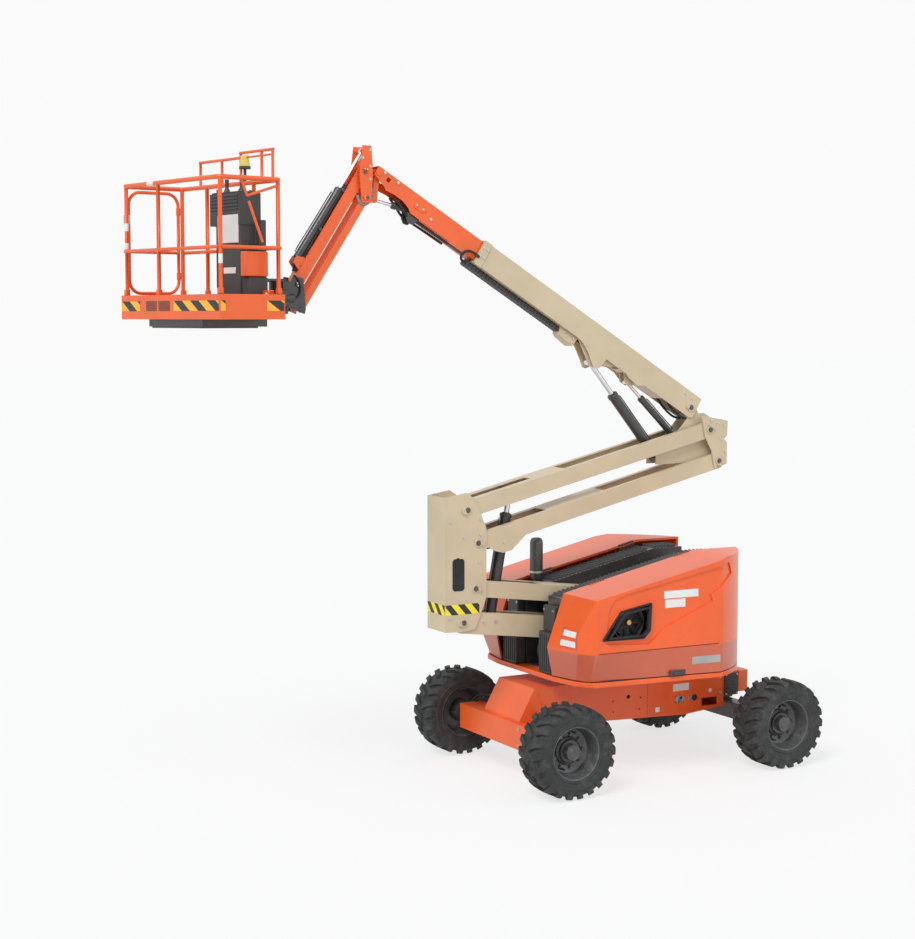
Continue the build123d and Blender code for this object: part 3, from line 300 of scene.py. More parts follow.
@dataclass(frozen=True)
class HazardTape:
    """Yellow and black slanted bars along the piece's own UV map, whose unit is the tape's height."""

    name: str
    slant: float = 0.85
    pitch: float = 1.5
    yellow: tuple[float, float, float] = (0.93, 0.76, 0.03)

    def build(self) -> bpy.types.Material:
        """Builds the material."""
        graph = Graph(self.name)
        across, up, _ = graph.split(graph.uv())
        bars = ((across + up * self.slant) / self.pitch).fraction().above(0.5)
        scuff = graph.noise(45.0, 5.0, 0.7).ramp(0.62, 0.8)
        colour = graph.mix(bars, self.yellow, (0.018, 0.018, 0.02))
        colour = graph.mix(scuff * 0.25, colour, (0.35, 0.31, 0.25))
        return graph.surface(Base_Color=colour, Roughness=(scuff * 0.3 + 0.42).clamp())


@dataclass(frozen=True)
class Grid:
    """A panel with rows of round holes in it, on the piece's own UV map."""

    name: str
    colour: tuple[float, float, float]
    hole: tuple[float, float, float]
    count: float = 6.0

    def build(self) -> bpy.types.Material:
        """Builds the material."""
        graph = Graph(self.name)
        across, up, _ = graph.split(graph.uv())
        x = (across * self.count).fraction() - 0.5
        y = (up * self.count).fraction() - 0.5
        inside = 1 - (x * x + y * y).ramp(0.085, 0.12)
        colour = graph.mix(inside, self.colour, self.hole)
        return graph.surface(Base_Color=colour, Roughness=0.5, Normal=graph.bump(1 - inside, 0.6, 0.002))


@dataclass(frozen=True)
class Glow:
    """Clear coloured plastic of a lamp lens."""

    name: str
    colour: tuple[float, float, float]

    def build(self) -> bpy.types.Material:
        """Builds the material."""
        graph = Graph(self.name)
        ribs = graph.node("ShaderNodeTexWave", {}, graph.place(), Scale=60.0, Distortion=0.5)
        colour = graph.mix(ribs * 0.3, self.colour, tuple(channel * 0.7 for channel in self.colour))
        return graph.surface(Base_Color=colour, Roughness=0.16, Normal=graph.bump(ribs, 0.3, 0.001),
                             Transmission_Weight=0.15, Coat_Weight=0.6)


ORANGE = (0.86, 0.118, 0.012)
CREAM = (0.60, 0.495, 0.325)


class Finish(Enum):
    """The finishes of the machine."""

    ORANGE_PAINT = Enamel("orange enamel", ORANGE)
    # Painted shade darkens the shell below 1.245 m, on the skirt that faces down.
    ORANGE_SHELL = Enamel("orange moulded shell", (0.87, 0.112, 0.010), roughness=0.34, coat=0.3, wear=0.1,
                          painted_shade_height=1.245)
    CREAM_PAINT = Enamel("cream enamel", CREAM, roughness=0.42)
    BLACK_PAINT = Enamel("black enamel", (0.040, 0.039, 0.040), roughness=0.35, dust=0.3, wear=0.12)
    RIM_PAINT = Enamel("dark grey wheel enamel", (0.05, 0.051, 0.053), roughness=0.36, dust=0.35, wear=0.1)
    RIM_BARREL = Enamel("grey wheel barrel", (0.072, 0.073, 0.076), roughness=0.36, dust=0.25, wear=0.1)
    TYRE = Rubber("tyre rubber")
    SEAL = Rubber("soft black seal", (0.02, 0.02, 0.021), 0.12)
    HOSE = Rubber("hydraulic hose cover", (0.025, 0.025, 0.027), 0.15)
    GREY_HOSE = Rubber("grey hose sleeve", (0.27, 0.27, 0.27), 0.1)
    BLACK_PLASTIC = Moulding("black moulding", (0.046, 0.044, 0.044))
    GREY_PLASTIC = Moulding("grey moulding", (0.085, 0.083, 0.083))
    WHITE_PLASTIC = Moulding("white plate", (0.74, 0.73, 0.70), 0.4)
    CHROME = Metal("hard chrome", (0.80, 0.80, 0.82), 0.12, 0.05)
    ZINC = Metal("zinc plated steel", (0.62, 0.61, 0.58), 0.34)
    DARK_STEEL = Metal("oiled steel", (0.15, 0.148, 0.145), 0.42)
    CASTING = Metal("engine casting", (0.12, 0.12, 0.125), 0.5)
    BRASS = Metal("brass fitting", (0.66, 0.43, 0.17), 0.3)
    TAPE = HazardTape("hazard tape")
    KICK_TAPE = HazardTape("kick plate tape", 1.5, 3.1, (0.95, 0.47, 0.035))
    PATCH = Moulding("red label ground", (0.66, 0.075, 0.03), 0.4)
    MESH = Grid("pierced kick plate", (0.30, 0.055, 0.018), (0.05, 0.03, 0.02))
    GREY_PLATE = Moulding("grey blank plate", (0.36, 0.35, 0.33), 0.4)
    LENS = Glow("yellow lens", (0.9, 0.72, 0.1))
    RED = Moulding("red knob", (0.55, 0.02, 0.015), 0.35)

    @property
    def material(self) -> bpy.types.Material:
        """The finish's material, built at its first use."""
        return bpy.data.materials.get(self.value.name) or self.value.build()

    @property
    def slot(self) -> "Slot":
        """The material slot of its pieces, where they name no other."""
        return USUAL_SLOT.get(self, Slot.PLASTIC)


class Slot(Enum):
    """The record's material slots that the pieces use."""

    ORANGE = "orange_paint"
    CREAM = "cream_paint"
    BLACK = "black_paint"
    PLASTIC = "black_plastic"
    RIM = "rim_paint"
    TYRE = "tyre_rubber"
    CHROME = "rod_chrome"
    ENGINE = "engine_casting"


USUAL_SLOT = {
    Finish.ORANGE_PAINT: Slot.ORANGE, Finish.CREAM_PAINT: Slot.CREAM, Finish.BLACK_PAINT: Slot.BLACK,
    Finish.RIM_PAINT: Slot.RIM, Finish.RIM_BARREL: Slot.RIM, Finish.TYRE: Slot.TYRE,
    Finish.CHROME: Slot.CHROME, Finish.ZINC: Slot.CHROME, Finish.DARK_STEEL: Slot.CHROME,
    Finish.CASTING: Slot.ENGINE, Finish.BRASS: Slot.ENGINE,
}


# ---------------------------------------------------------------- places
JOINTS = {joint["name"]: joint for joint in frame["joints"]}


def joint(name: str) -> Vector:
    """The place of a joint of the frame."""
    return Vector(JOINTS[name]["pos_m"])


@dataclass(frozen=True)
class Run:
    """A straight run between two pins, with places given along it, out from it and across."""

    start: Vector
    end: Vector

    def at(self, along: float, out: float = 0.0, across: float = 0.0) -> Vector:
        """A point along the run, out to its left seen from -Y, and across in Y, in metres."""
        way = (self.end - self.start).normalized()
        side = Vector((-way.z, 0.0, way.x))
        return self.start + way * along + side * out + Vector((0.0, across, 0.0))


# ---------------------------------------------------------------- shapes
SHARP = math.radians(35)


def linked(name: str, data: bpy.types.ID) -> bpy.types.Object:
    """An object of that name and data in the scene."""
    made = bpy.data.objects.new(name, data)
    bpy.context.scene.collection.objects.link(made)
    return made


class Shape:
    """A mesh under construction, in the frame's metres."""

    def __init__(self) -> None:
        """Starts empty."""
        self.bm = bmesh.new()

    def prism(self, outline: Iterable[Point], y0: float, y1: float) -> "Shape":
        """Adds a plate: an outline of (x, z) points from y0 to y1."""
        ring = [self.bm.verts.new((x, y0, z)) for x, z in outline]
        face = self.bm.faces.new(ring)
        made = bmesh.ops.extrude_face_region(self.bm, geom=[face])
        moved = [item for item in made["geom"] if isinstance(item, bmesh.types.BMVert)]
        bmesh.ops.translate(self.bm, verts=moved, vec=(0.0, y1 - y0, 0.0))
        return self

    def block(self, lo: Point, hi: Point) -> "Shape":
        """Adds a box between two corners."""
        (x0, y0, z0), (x1, y1, z1) = lo, hi
        return self.prism([(x0, z0), (x1, z0), (x1, z1), (x0, z1)], y0, y1)

    def rod(self, a: Point, b: Point, radius: float, end_radius: Optional[float] = None,
            sides: int = 32) -> "Shape":
        """Adds a round bar or cone between two points."""
        start, end = Vector(a), Vector(b)
        turn = (end - start).to_track_quat("Z", "Y").to_matrix().to_4x4()
        where = Matrix.Translation((start + end) / 2) @ turn
        bmesh.ops.create_cone(self.bm, cap_ends=True, segments=sides, radius1=radius,
                              radius2=radius if end_radius is None else end_radius,
                              depth=(end - start).length, matrix=where)
        return self

    def lathe(self, profile: Sequence[Point], steps: int) -> "Shape":
        """Adds a closed ring turned about the Y axis from (radius, y) points."""
        rings = []
        for step in range(steps):
            angle = 2 * math.pi * step / steps
            rings.append([self.bm.verts.new((r * math.cos(angle), y, r * math.sin(angle)))
                          for r, y in profile])
        for step, ring in enumerate(rings):
            after = rings[(step + 1) % steps]
            for index in range(len(profile)):
                follow = (index + 1) % len(profile)
                self.bm.faces.new((ring[index], ring[follow], after[follow], after[index]))
        return self

    def move(self, matrix: Matrix) -> "Shape":
        """Moves all that was made so far."""
        bmesh.ops.transform(self.bm, matrix=matrix, verts=self.bm.verts)
        return self

    def done(self, name: str, finish: Finish, bevel: float = 0.0) -> bpy.types.Object:
        """Ends the shape.

        Args:
            name: the piece's name.
            finish: its finish.
            bevel: the width that its sharp edges are rounded by.

        Returns:
            The piece's object.
        """
        bmesh.ops.remove_doubles(self.bm, verts=self.bm.verts, dist=1e-6)
        bmesh.ops.recalc_face_normals(self.bm, faces=self.bm.faces)
        mesh = bpy.data.meshes.new(name)
        self.bm.to_mesh(mesh)
        self.bm.free()
        piece = linked(name, mesh)
        mesh.materials.append(finish.material)
        soften(piece, bevel)
        return piece

    def ride(self, name: str, body: str, finish: Finish, bevel: float = 0.0,
             slot: Optional[Slot] = None) -> bpy.types.Object:
        """Ends the shape and puts it on its body."""
        return ride(self.done(name, finish, bevel), body, slot or finish.slot)


def soften(piece: bpy.types.Object, bevel: float) -> None:
    """Rounds a piece's sharp edges and shades the rest smoothly."""
    if bevel > 0:
        made = piece.modifiers.new("rounded edges", "BEVEL")
        made.width = bevel
        made.segments = 2
        made.limit_method = "ANGLE"
        made.angle_limit = SHARP
    piece.data.shade_smooth()
    piece.data.set_sharp_from_angle(angle=SHARP)


def ride(piece: bpy.types.Object, body: str, slot: Slot) -> bpy.types.Object:
    """Puts a piece on its body, and reports it."""
    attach(piece, body)
    log.info("%s rides on %s with %d faces", piece.name, body, len(getattr(piece.data, "polygons", ())))
    return piece


# ---------------------------------------------------------------- repeats
class Tree:
    """A geometry node tree under construction."""

    def __init__(self, name: str, inputs: dict[str, tuple[str, object]]) -> None:
        """Makes a tree with a geometry input and these named inputs of (socket type, default)."""
        self.group = bpy.data.node_groups.new(name, "GeometryNodeTree")
        self.group.interface.new_socket("Geometry", in_out="INPUT", socket_type="NodeSocketGeometry")
        for label, (kind, value) in inputs.items():
            socket = self.group.interface.new_socket(label, in_out="INPUT", socket_type=kind)
            if value is not None:
                socket.default_value = value
        self.group.interface.new_socket("Geometry", in_out="OUTPUT", socket_type="NodeSocketGeometry")
        self.entry = self.group.nodes.new("NodeGroupInput")

    def node(self, kind: str, settings: dict, out: Union[int, str] = 0,
             **named: object) -> bpy.types.NodeSocket:
        """Adds a node with settings and inputs by name, and returns an output."""
        made = self.group.nodes.new(kind)
        for key, value in settings.items():
            setattr(made, key, value)
        for key, value in named.items():
            socket = made.inputs[key.replace("_", " ")]
            if isinstance(value, bpy.types.NodeSocket):
                self.group.links.new(value, socket)
            else:
                socket.default_value = value
        return made.outputs[out]

    def given(self, label: str) -> bpy.types.NodeSocket:
        """One of the tree's inputs."""
        return self.entry.outputs[label]

    def close(self, geometry: bpy.types.NodeSocket) -> bpy.types.NodeTree:
        """Ends the tree in Realize Instances and Set Material."""
        whole = self.node("GeometryNodeRealizeInstances", {}, Geometry=geometry)
        painted = self.node("GeometryNodeSetMaterial", {}, Geometry=whole, Material=self.given("Finish"))
        exit_node = self.group.nodes.new("NodeGroupOutput")
        self.group.links.new(painted, exit_node.inputs[0])
        return self.group


def ring_tree() -> bpy.types.NodeTree:
    """A tree that repeats its geometry round the Y axis."""
    tree = Tree("repeat round", {"Count": ("NodeSocketInt", 8), "Start": ("NodeSocketFloat", 0.0),
                                 "Finish": ("NodeSocketMaterial", None)})
    points = tree.node("GeometryNodePoints", {}, Count=tree.given("Count"))
    index = tree.node("GeometryNodeInputIndex", {})
    step = tree.node("ShaderNodeMath", {"operation": "DIVIDE"}, out=0)
    divide = step.node
    divide.inputs[0].default_value = 2 * math.pi
    tree.group.links.new(tree.given("Count"), divide.inputs[1])
    turn = tree.group.nodes.new("ShaderNodeMath")
    turn.operation = "MULTIPLY_ADD"
    tree.group.links.new(index, turn.inputs[0])
    tree.group.links.new(step, turn.inputs[1])
    tree.group.links.new(tree.given("Start"), turn.inputs[2])
    vector = tree.node("ShaderNodeCombineXYZ", {}, Y=turn.outputs[0])
    made = tree.node("GeometryNodeInstanceOnPoints", {}, Points=points, Instance=tree.given("Geometry"),
                     Rotation=vector)
    return tree.close(made)


def row_tree() -> bpy.types.NodeTree:
    """A tree that repeats its geometry along a straight row."""
    tree = Tree("repeat in a row", {"Count": ("NodeSocketInt", 4),
                                    "Step": ("NodeSocketVector", (0.1, 0.0, 0.0)),
                                    "Finish": ("NodeSocketMaterial", None)})
    line = tree.node("GeometryNodeMeshLine", {}, Count=tree.given("Count"), Offset=tree.given("Step"))
    made = tree.node("GeometryNodeInstanceOnPoints", {}, Points=line, Instance=tree.given("Geometry"))
    return tree.close(made)


def bolt_tree() -> bpy.types.NodeTree:
    """A tree that sets a hexagon bolt with its washer on every vertex, along the vertex's axis attribute."""
    tree = Tree("bolts", {"Radius": ("NodeSocketFloat", 0.012), "Height": ("NodeSocketFloat", 0.009),
                          "Finish": ("NodeSocketMaterial", None)})
    radius, height = tree.given("Radius"), tree.given("Height")
    wide = tree.node("ShaderNodeMath", {"operation": "MULTIPLY"})
    tree.group.links.new(radius, wide.node.inputs[0])
    wide.node.inputs[1].default_value = 1.45
    thin = tree.node("ShaderNodeMath", {"operation": "MULTIPLY"})
    tree.group.links.new(height, thin.node.inputs[0])
    thin.node.inputs[1].default_value = 0.5
    head = tree.node("GeometryNodeMeshCylinder", {}, Vertices=6, Radius=radius, Depth=height)
    raised = tree.node("ShaderNodeCombineXYZ", {}, Z=thin)
    head = tree.node("GeometryNodeTransform", {}, Geometry=head, Translation=raised)
    washer = tree.node("GeometryNodeMeshCylinder", {}, Vertices=16, Radius=wide, Depth=thin)
    joined = tree.group.nodes.new("GeometryNodeJoinGeometry")
    for item in (head, washer):
        tree.group.links.new(item, joined.inputs[0])
    axis = tree.node("GeometryNodeInputNamedAttribute", {"data_type": "FLOAT_VECTOR"}, Name="axis")
    turn = tree.node("FunctionNodeAlignRotationToVector", {"axis": "Z"}, Vector=axis)
    made = tree.node("GeometryNodeInstanceOnPoints", {}, Points=tree.given("Geometry"),
                     Instance=joined.outputs[0], Rotation=turn)
    return tree.close(made)


TREES: dict[str, bpy.types.NodeTree] = {}


def grow(piece: bpy.types.Object, maker: Callable[[], bpy.types.NodeTree], finish: Finish,
         **inputs: object) -> bpy.types.Object:
    """Runs a repeating tree on a piece and turns the result into its plain mesh.

    Args:
        piece: the piece whose mesh the tree is given.
        maker: the function that makes the tree.
        finish: the finish of the result.
        inputs: the tree's sizes by name.

    Returns:
        The same piece with its new mesh.
    """
    tree = TREES.setdefault(maker.__name__, None) or maker()
    TREES[maker.__name__] = tree
    modifier = piece.modifiers.new("repeat", "NODES")
    modifier.node_group = tree
    names = {item.name: item.identifier for item in tree.interface.items_tree if item.in_out == "INPUT"}
    for label, value in {**inputs, "Finish": finish.material}.items():
        modifier[names[label]] = value
    graph = bpy.context.evaluated_depsgraph_get()
    mesh = bpy.data.meshes.new_from_object(piece.evaluated_get(graph))
    piece.modifiers.clear()
    piece.data = mesh
    return piece


def bolts(name: str, places: Sequence[tuple[Point, Point]], body: str, radius: float = 0.012,
          height: float = 0.01, finish: Finish = Finish.ZINC, slot: Slot = Slot.CHROME) -> bpy.types.Object:
    """Bolt heads with washers at places of (point, outward axis)."""
    mesh = bpy.data.meshes.new(name)
    mesh.from_pydata([tuple(point) for point, _ in places], [], [])
    axes = mesh.attributes.new("axis", "FLOAT_VECTOR", "POINT")
    for item, (_, axis) in zip(axes.data, places):
        item.vector = Vector(axis).normalized()
    piece = linked(name, mesh)
    grow(piece, bolt_tree, finish, Radius=radius, Height=height)
    return ride(piece, body, slot)


def row(shape: Shape, name: str, body: str, finish: Finish, bevel: float, count: int, step: Point,
        slot: Optional[Slot] = None) -> bpy.types.Object:
    """A shape repeated in a row, as one piece on its body."""
    piece = grow(shape.done(name, finish, bevel), row_tree, finish, Count=count, Step=tuple(step))
    return ride(piece, body, slot or finish.slot)


def shift_mesh(piece: bpy.types.Object, matrix: Matrix) -> bpy.types.Object:
    """Moves a piece's mesh and leaves its object at the origin."""
    piece.data.transform(matrix)
    return piece


def hose(name: str, points: Sequence[Point], radius: float, finish: Finish, body: str) -> bpy.types.Object:
    """A hose or cable held at both ends, as a smooth tube mesh through control points."""
    curve = bpy.data.curves.new(name, "CURVE")
    curve.dimensions = "3D"
    spline = curve.splines.new("NURBS")
    spline.points.add(len(points) - 1)
    for item, point in zip(spline.points, points):
        item.co = (*point, 1.0)
    spline.order_u = 3
    spline.use_endpoint_u = True
    curve.bevel_depth = radius
    curve.bevel_resolution = 3
    curve.resolution_u = 8
    curve.use_fill_caps = True
    holder = linked(name + "_path", curve)
    graph = bpy.context.evaluated_depsgraph_get()
    mesh = bpy.data.meshes.new_from_object(holder.evaluated_get(graph))
    bpy.data.objects.remove(holder)
    piece = linked(name, mesh)
    mesh.materials.clear()
    mesh.materials.append(finish.material)
    mesh.shade_smooth()
    return ride(piece, body, finish.slot)


AXIS = joint("swing").x


def at(x: float, y: float, z: float) -> Vector:
    """A point whose x is counted from the swing axis."""
    return Vector((AXIS + x, y, z))


# ---------------------------------------------------------------- frame dressing
@dataclass
class Dressing:
    """The finish, slot and edge radius of every carried-over solid."""

    edge: float = 0.0035
    level: float = math.radians(0.6)
    sharp: float = math.radians(28)
    finishes: dict[str, Finish] = field(default_factory=lambda: {
        "orange_paint": Finish.ORANGE_PAINT, "orange_shell": Finish.ORANGE_SHELL,
        "cream_paint": Finish.CREAM_PAINT, "black_paint": Finish.BLACK_PAINT,
        "black_plastic": Finish.BLACK_PLASTIC, "rim_paint": Finish.RIM_PAINT, "tyre_rubber": Finish.TYRE,
        "rod_chrome": Finish.CHROME, "engine_casting": Finish.CASTING, "tail_casting": Finish.ORANGE_PAINT})
    edges: dict[str, float] = field(default_factory=lambda: {
        "hood_right": 0.016, "hood_left": 0.016, "counterweight": 0.02, "platform_rails": 0.0, "gate": 0.0,
        "chassis_frame": 0.005, "turntable_deck": 0.006, "mid_post": 0.005, "engine_block": 0.01})

    def build(self) -> None:
        """Dresses each node of the frame."""
        for part in frame["record"]["subparts"]:
            node = frame["nodes"][part["node"]]
            node.data.materials.clear()
            node.data.materials.append(self.finishes[part["material_slot"]].material)
            node.data.shade_smooth()
            if "custom_normal" in node.data.attributes:
                node.data.attributes.remove(node.data.attributes["custom_normal"])
            weld = node.modifiers.new("joined faces", "WELD")
            weld.merge_threshold = 2e-5
            width = self.edges.get(part["node"], self.edge)
            if width > 0:
                flat = node.modifiers.new("whole faces", "DECIMATE")
                flat.decimate_type = "DISSOLVE"
                flat.angle_limit = self.level
                bevel = node.modifiers.new("rounded edges", "BEVEL")
                bevel.width = width
                bevel.segments = 3
                bevel.limit_method = "ANGLE"
                bevel.angle_limit = self.sharp
            normal = node.modifiers.new("flat faces", "WEIGHTED_NORMAL")
            normal.keep_sharp = False
            log.info("%s keeps its solid in %s", part["node"], part["material_slot"])


# ---------------------------------------------------------------- wheels
@dataclass
class Wheel:
    """One wheel: lugged foam-filled tyre, dished rim and planetary hub."""

    name: str
    side: int
    tip: float = 0.42
    carcass: float = 0.393
    pairs: int = 11

    @property
    def centre(self) -> Vector:
        """The wheel's centre."""
        return joint(f"wheel_{self.name}_spin")

    @property
    def body(self) -> str:
        """The body that turns."""
        return f"wheel_{self.name}"

    def carcass_piece(self) -> bpy.types.Object:
        """The tyre's smooth body with its rim guard."""
        left = [(0.229, -0.128), (0.236, -0.146), (0.246, -0.157), (0.262, -0.165), (0.268, -0.160),
                (0.30, -0.168), (0.322, -0.173), (0.334, -0.168), (0.36, -0.168), (0.378, -0.158),
                (0.388, -0.13), (self.carcass, -0.07)]
        profile = left + [(r, -y) for r, y in reversed(left)]
        return Shape().lathe(profile, 120).done(f"tyre_body_{self.name}", Finish.TYRE)

    def lug(self, stations: Sequence[tuple[float, float, float, float]]) -> Shape:
        """One tread bar through stations of (y, radius, angle, half angle), dug into the carcass."""
        shape = Shape()
        rows = []
        for y, r, angle, half in stations:
            row = []
            for depth, grow in ((0.0, 1.0), (0.05, 1.12)):
                for sign in (-1, 1):
                    a = math.radians(angle + sign * half * grow)
                    row.append(shape.bm.verts.new(((r - depth) * math.sin(a),
                                                   y - math.copysign(depth * 0.25, y),
                                                   (r - depth) * math.cos(a))))
            rows.append(row)
        for near, far in zip(rows, rows[1:]):
            for i, j in ((0, 1), (1, 3), (3, 2), (2, 0)):
                shape.bm.faces.new((near[i], near[j], far[j], far[i]))
        for row in (rows[0], rows[-1]):
            shape.bm.faces.new((row[0], row[1], row[3], row[2]))
        return shape

    def tread(self) -> list[bpy.types.Object]:
        """The tread bars of both shoulders, each repeated round the wheel."""
        long_bar = [(0.004, self.tip, 0.0, 3.5), (0.05, self.tip, 3.6, 3.3), (0.09, 0.419, 6.4, 3.4),
                    (0.135, 0.416, 9.2, 4.0), (0.162, 0.408, 10.6, 4.4), (0.1745, 0.392, 11.0, 4.5),
                    (0.175, 0.362, 10.6, 4.2), (0.169, 0.342, 10.2, 3.2)]
        short_bar = [(0.062, self.tip, -11.6, 3.2), (0.1, 0.419, -9.2, 3.4), (0.14, 0.415, -6.6, 3.8),
                     (0.163, 0.407, -5.4, 4.0), (0.1745, 0.393, -5.0, 4.0), (0.175, 0.37, -5.0, 3.6),
                     (0.1705, 0.356, -5.0, 2.8)]
        pitch = 360.0 / self.pairs
        made = []
        for label, stations in (("long", long_bar), ("short", short_bar)):
            for sign in (-1, 1):
                half_turn = 0.0 if sign > 0 else pitch / 2
                turned = [(sign * y, r, angle + half_turn, half) for y, r, angle, half in stations]
                piece = self.lug(turned).done(f"tread_{label}_{'in' if sign < 0 else 'out'}_{self.name}",
                                              Finish.TYRE, 0.004)
                made.append(grow(piece, ring_tree, Finish.TYRE, Count=self.pairs))
        return made

    def rim(self) -> bpy.types.Object:
        """The rim's barrel and dish."""
        profile = [(0.245, 0.150), (0.238, 0.157), (0.229, 0.151), (0.223, 0.134), (0.216, 0.09),
                   (0.209, 0.045), (0.197, 0.016), (0.176, 0.004), (0.09, 0.0), (0.09, -0.012),
                   (0.18, -0.010), (0.203, 0.0), (0.210, -0.02), (0.214, -0.10), (0.224, -0.135),
                   (0.236, -0.150), (0.245, -0.150), (0.232, -0.128), (0.228, -0.10), (0.228, 0.11),
                   (0.233, 0.13)]
        dish = Shape().lathe([(r, self.side * y) for r, y in profile], 128)
        return dish.done(f"rim_dish_{self.name}", Finish.RIM_BARREL)

    def hub(self) -> bpy.types.Object:
        """The planetary hub in the dish with its eight-sided end."""
        shape = Shape().lathe([(0.0001, 0.0), (0.128, 0.0), (0.128, self.side * 0.014),
                               (0.104, self.side * 0.03), (0.1, self.side * 0.052),
                               (0.0001, self.side * 0.056)], 64)
        shape.rod((0, self.side * 0.05, 0), (0, self.side * 0.112, 0), 0.079, 0.074, 8)
        shape.rod((0, self.side * 0.11, 0), (0, self.side * 0.118, 0), 0.052, 0.048, 24)
        return shape.done(f"hub_end_{self.name}", Finish.RIM_PAINT, 0.004)

    def build(self) -> None:
        """Builds the wheel in place."""
        where = Matrix.Translation(self.centre)
        tyre = [self.carcass_piece(), *self.tread()]
        for piece in tyre:
            shift_mesh(piece, where)
            ride(piece, self.body, Slot.TYRE)
        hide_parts(f"tyre_{self.name}")
        rim = shift_mesh(self.rim(), where)
        ride(rim, self.body, Slot.RIM)
        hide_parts(f"rim_{self.name}")
        ride(shift_mesh(self.hub(), where), self.body, Slot.RIM)
        places = []
        for index in range(9):
            a = 2 * math.pi * index / 9
            places.append((self.centre + Vector((0.148 * math.cos(a), self.side * 0.004,
                                                 0.148 * math.sin(a))), (0, self.side, 0)))
        bolts(f"wheel_nuts_{self.name}", places, self.body, 0.013, 0.02, Finish.DARK_STEEL)
        vents = Shape()
        for a0 in (70, 250):
            arc = [(0.185, a0 - 13), (0.185, a0 + 13), (0.162, a0 + 11), (0.162, a0 - 11)]
            outline = [(r * math.cos(math.radians(a)), r * math.sin(math.radians(a))) for r, a in arc]
            vents.prism(outline, self.side * 0.0035, self.side * 0.0065)
        piece = shift_mesh(vents.done(f"rim_vents_{self.name}", Finish.SEAL, 0.001), where)
        ride(piece, self.body, Slot.RIM)


# ---------------------------------------------------------------- places on the machine
SIDES = (("near", -1), ("far", 1))
BOOM_RISE = Vector((math.cos(math.radians(31.4)), math.sin(math.radians(31.4))))
CAGE_TURN = math.radians(10.4)


def boom(s: float, n: float = 0.0, y: float = 0.0) -> Vector:
    """A point s out along the main boom from its root pin, n above that line and y across the machine."""
    return joint("main_lift") + Vector((n * BOOM_RISE.y - s * BOOM_RISE.x, y,
                                        s * BOOM_RISE.y + n * BOOM_RISE.x))


CAGE = Matrix.Translation((joint("platform_rotate").x, 0.0, 0.0)) @ Matrix.Rotation(CAGE_TURN, 4, "Z")


def cage(a: float, b: float, z: float) -> Vector:
    """A point of the basket, a forward of its swivel and b to its left."""
    return CAGE @ Vector((-a, b, z))


def upright(place: Callable[..., Vector], start: Point, end: Point, low: float, high: float) -> list[Vector]:
    """The corners of an upright rectangle over two points of the plan, in the frame of place."""
    return [place(*start, low), place(*end, low), place(*end, high), place(*start, high)]


@dataclass
class Skin:
    """The surface of a carried-over solid, onto which stickers and seals are pressed."""

    node: str
    way: Point

    def __post_init__(self) -> None:
        """Reads the solid's faces."""
        solid = frame["nodes"][self.node]
        points = [solid.matrix_world @ vertex.co for vertex in solid.data.vertices]
        self.tree = BVHTree.FromPolygons(points, [face.vertices[:] for face in solid.data.polygons])
        self.press = Vector(self.way).normalized()

    def on(self, point: Point, lift: float = 0.0015) -> Vector:
        """The place where a point, pressed along the way, meets the surface, or the point itself."""
        start = Vector(point) - self.press * 0.4
        hit = self.tree.ray_cast(start, self.press, 0.9)[0]
        return (Vector(point) if hit is None else hit) - self.press * lift

    def sticker(self, name: str, corners: Sequence[Point], finish: Finish, body: str, columns: int = 8,
                rows: int = 3, lift: float = 0.0015) -> bpy.types.Object:
        """A thin sticker that follows the surface.

        Args:
            name: the piece's name.
            corners: its lower left, lower right, upper right and upper left, near the surface.
            finish: its finish.
            body: the body that it rides on.
            columns: steps across.
            rows: steps up.
            lift: how far it stands off the surface.

        Returns:
            The piece.
        """
        a, b, c, d = (Vector(corner) for corner in corners)
        shape = bmesh.new()
        layer = shape.loops.layers.uv.new("tape")
        tall = (d - a).length
        wide = (b - a).length
        grid = []
        for row in range(rows + 1):
            v = row / rows
            grid.append([shape.verts.new(self.on(a.lerp(b, u / columns).lerp(d.lerp(c, u / columns), v),
                                                 lift))
                         for u in range(columns + 1)])
        for row in range(rows):
            for u in range(columns):
                face = shape.faces.new((grid[row][u], grid[row][u + 1], grid[row + 1][u + 1],
                                        grid[row + 1][u]))
                spots = ((u, row), (u + 1, row), (u + 1, row + 1), (u, row + 1))
                for loop, (x, y) in zip(face.loops, spots):
                    loop[layer].uv = (x / columns * wide / tall, y / rows)
        mesh = bpy.data.meshes.new(name)
        shape.to_mesh(mesh)
        shape.free()
        mesh.materials.append(finish.material)
        return ride(linked(name, mesh), body, finish.slot)

    def bead(self, name: str, points: Sequence[Point], radius: float, finish: Finish, body: str,
             closed: bool = False) -> bpy.types.Object:
        """A round seal or weld laid along points on the surface."""
        route = [self.on(point, radius * 0.3) for point in points]
        if closed:
            route = [route[-1].lerp(route[0], 0.5), *route, route[-1].lerp(route[0], 0.5)]
        fine = []
        for start, end in zip(route, route[1:]):
            fine += [start.lerp(end, share) for share in (0.0, 0.04, 0.5, 0.96)]
        return hose(name, [*fine, route[-1]], radius, finish, body)


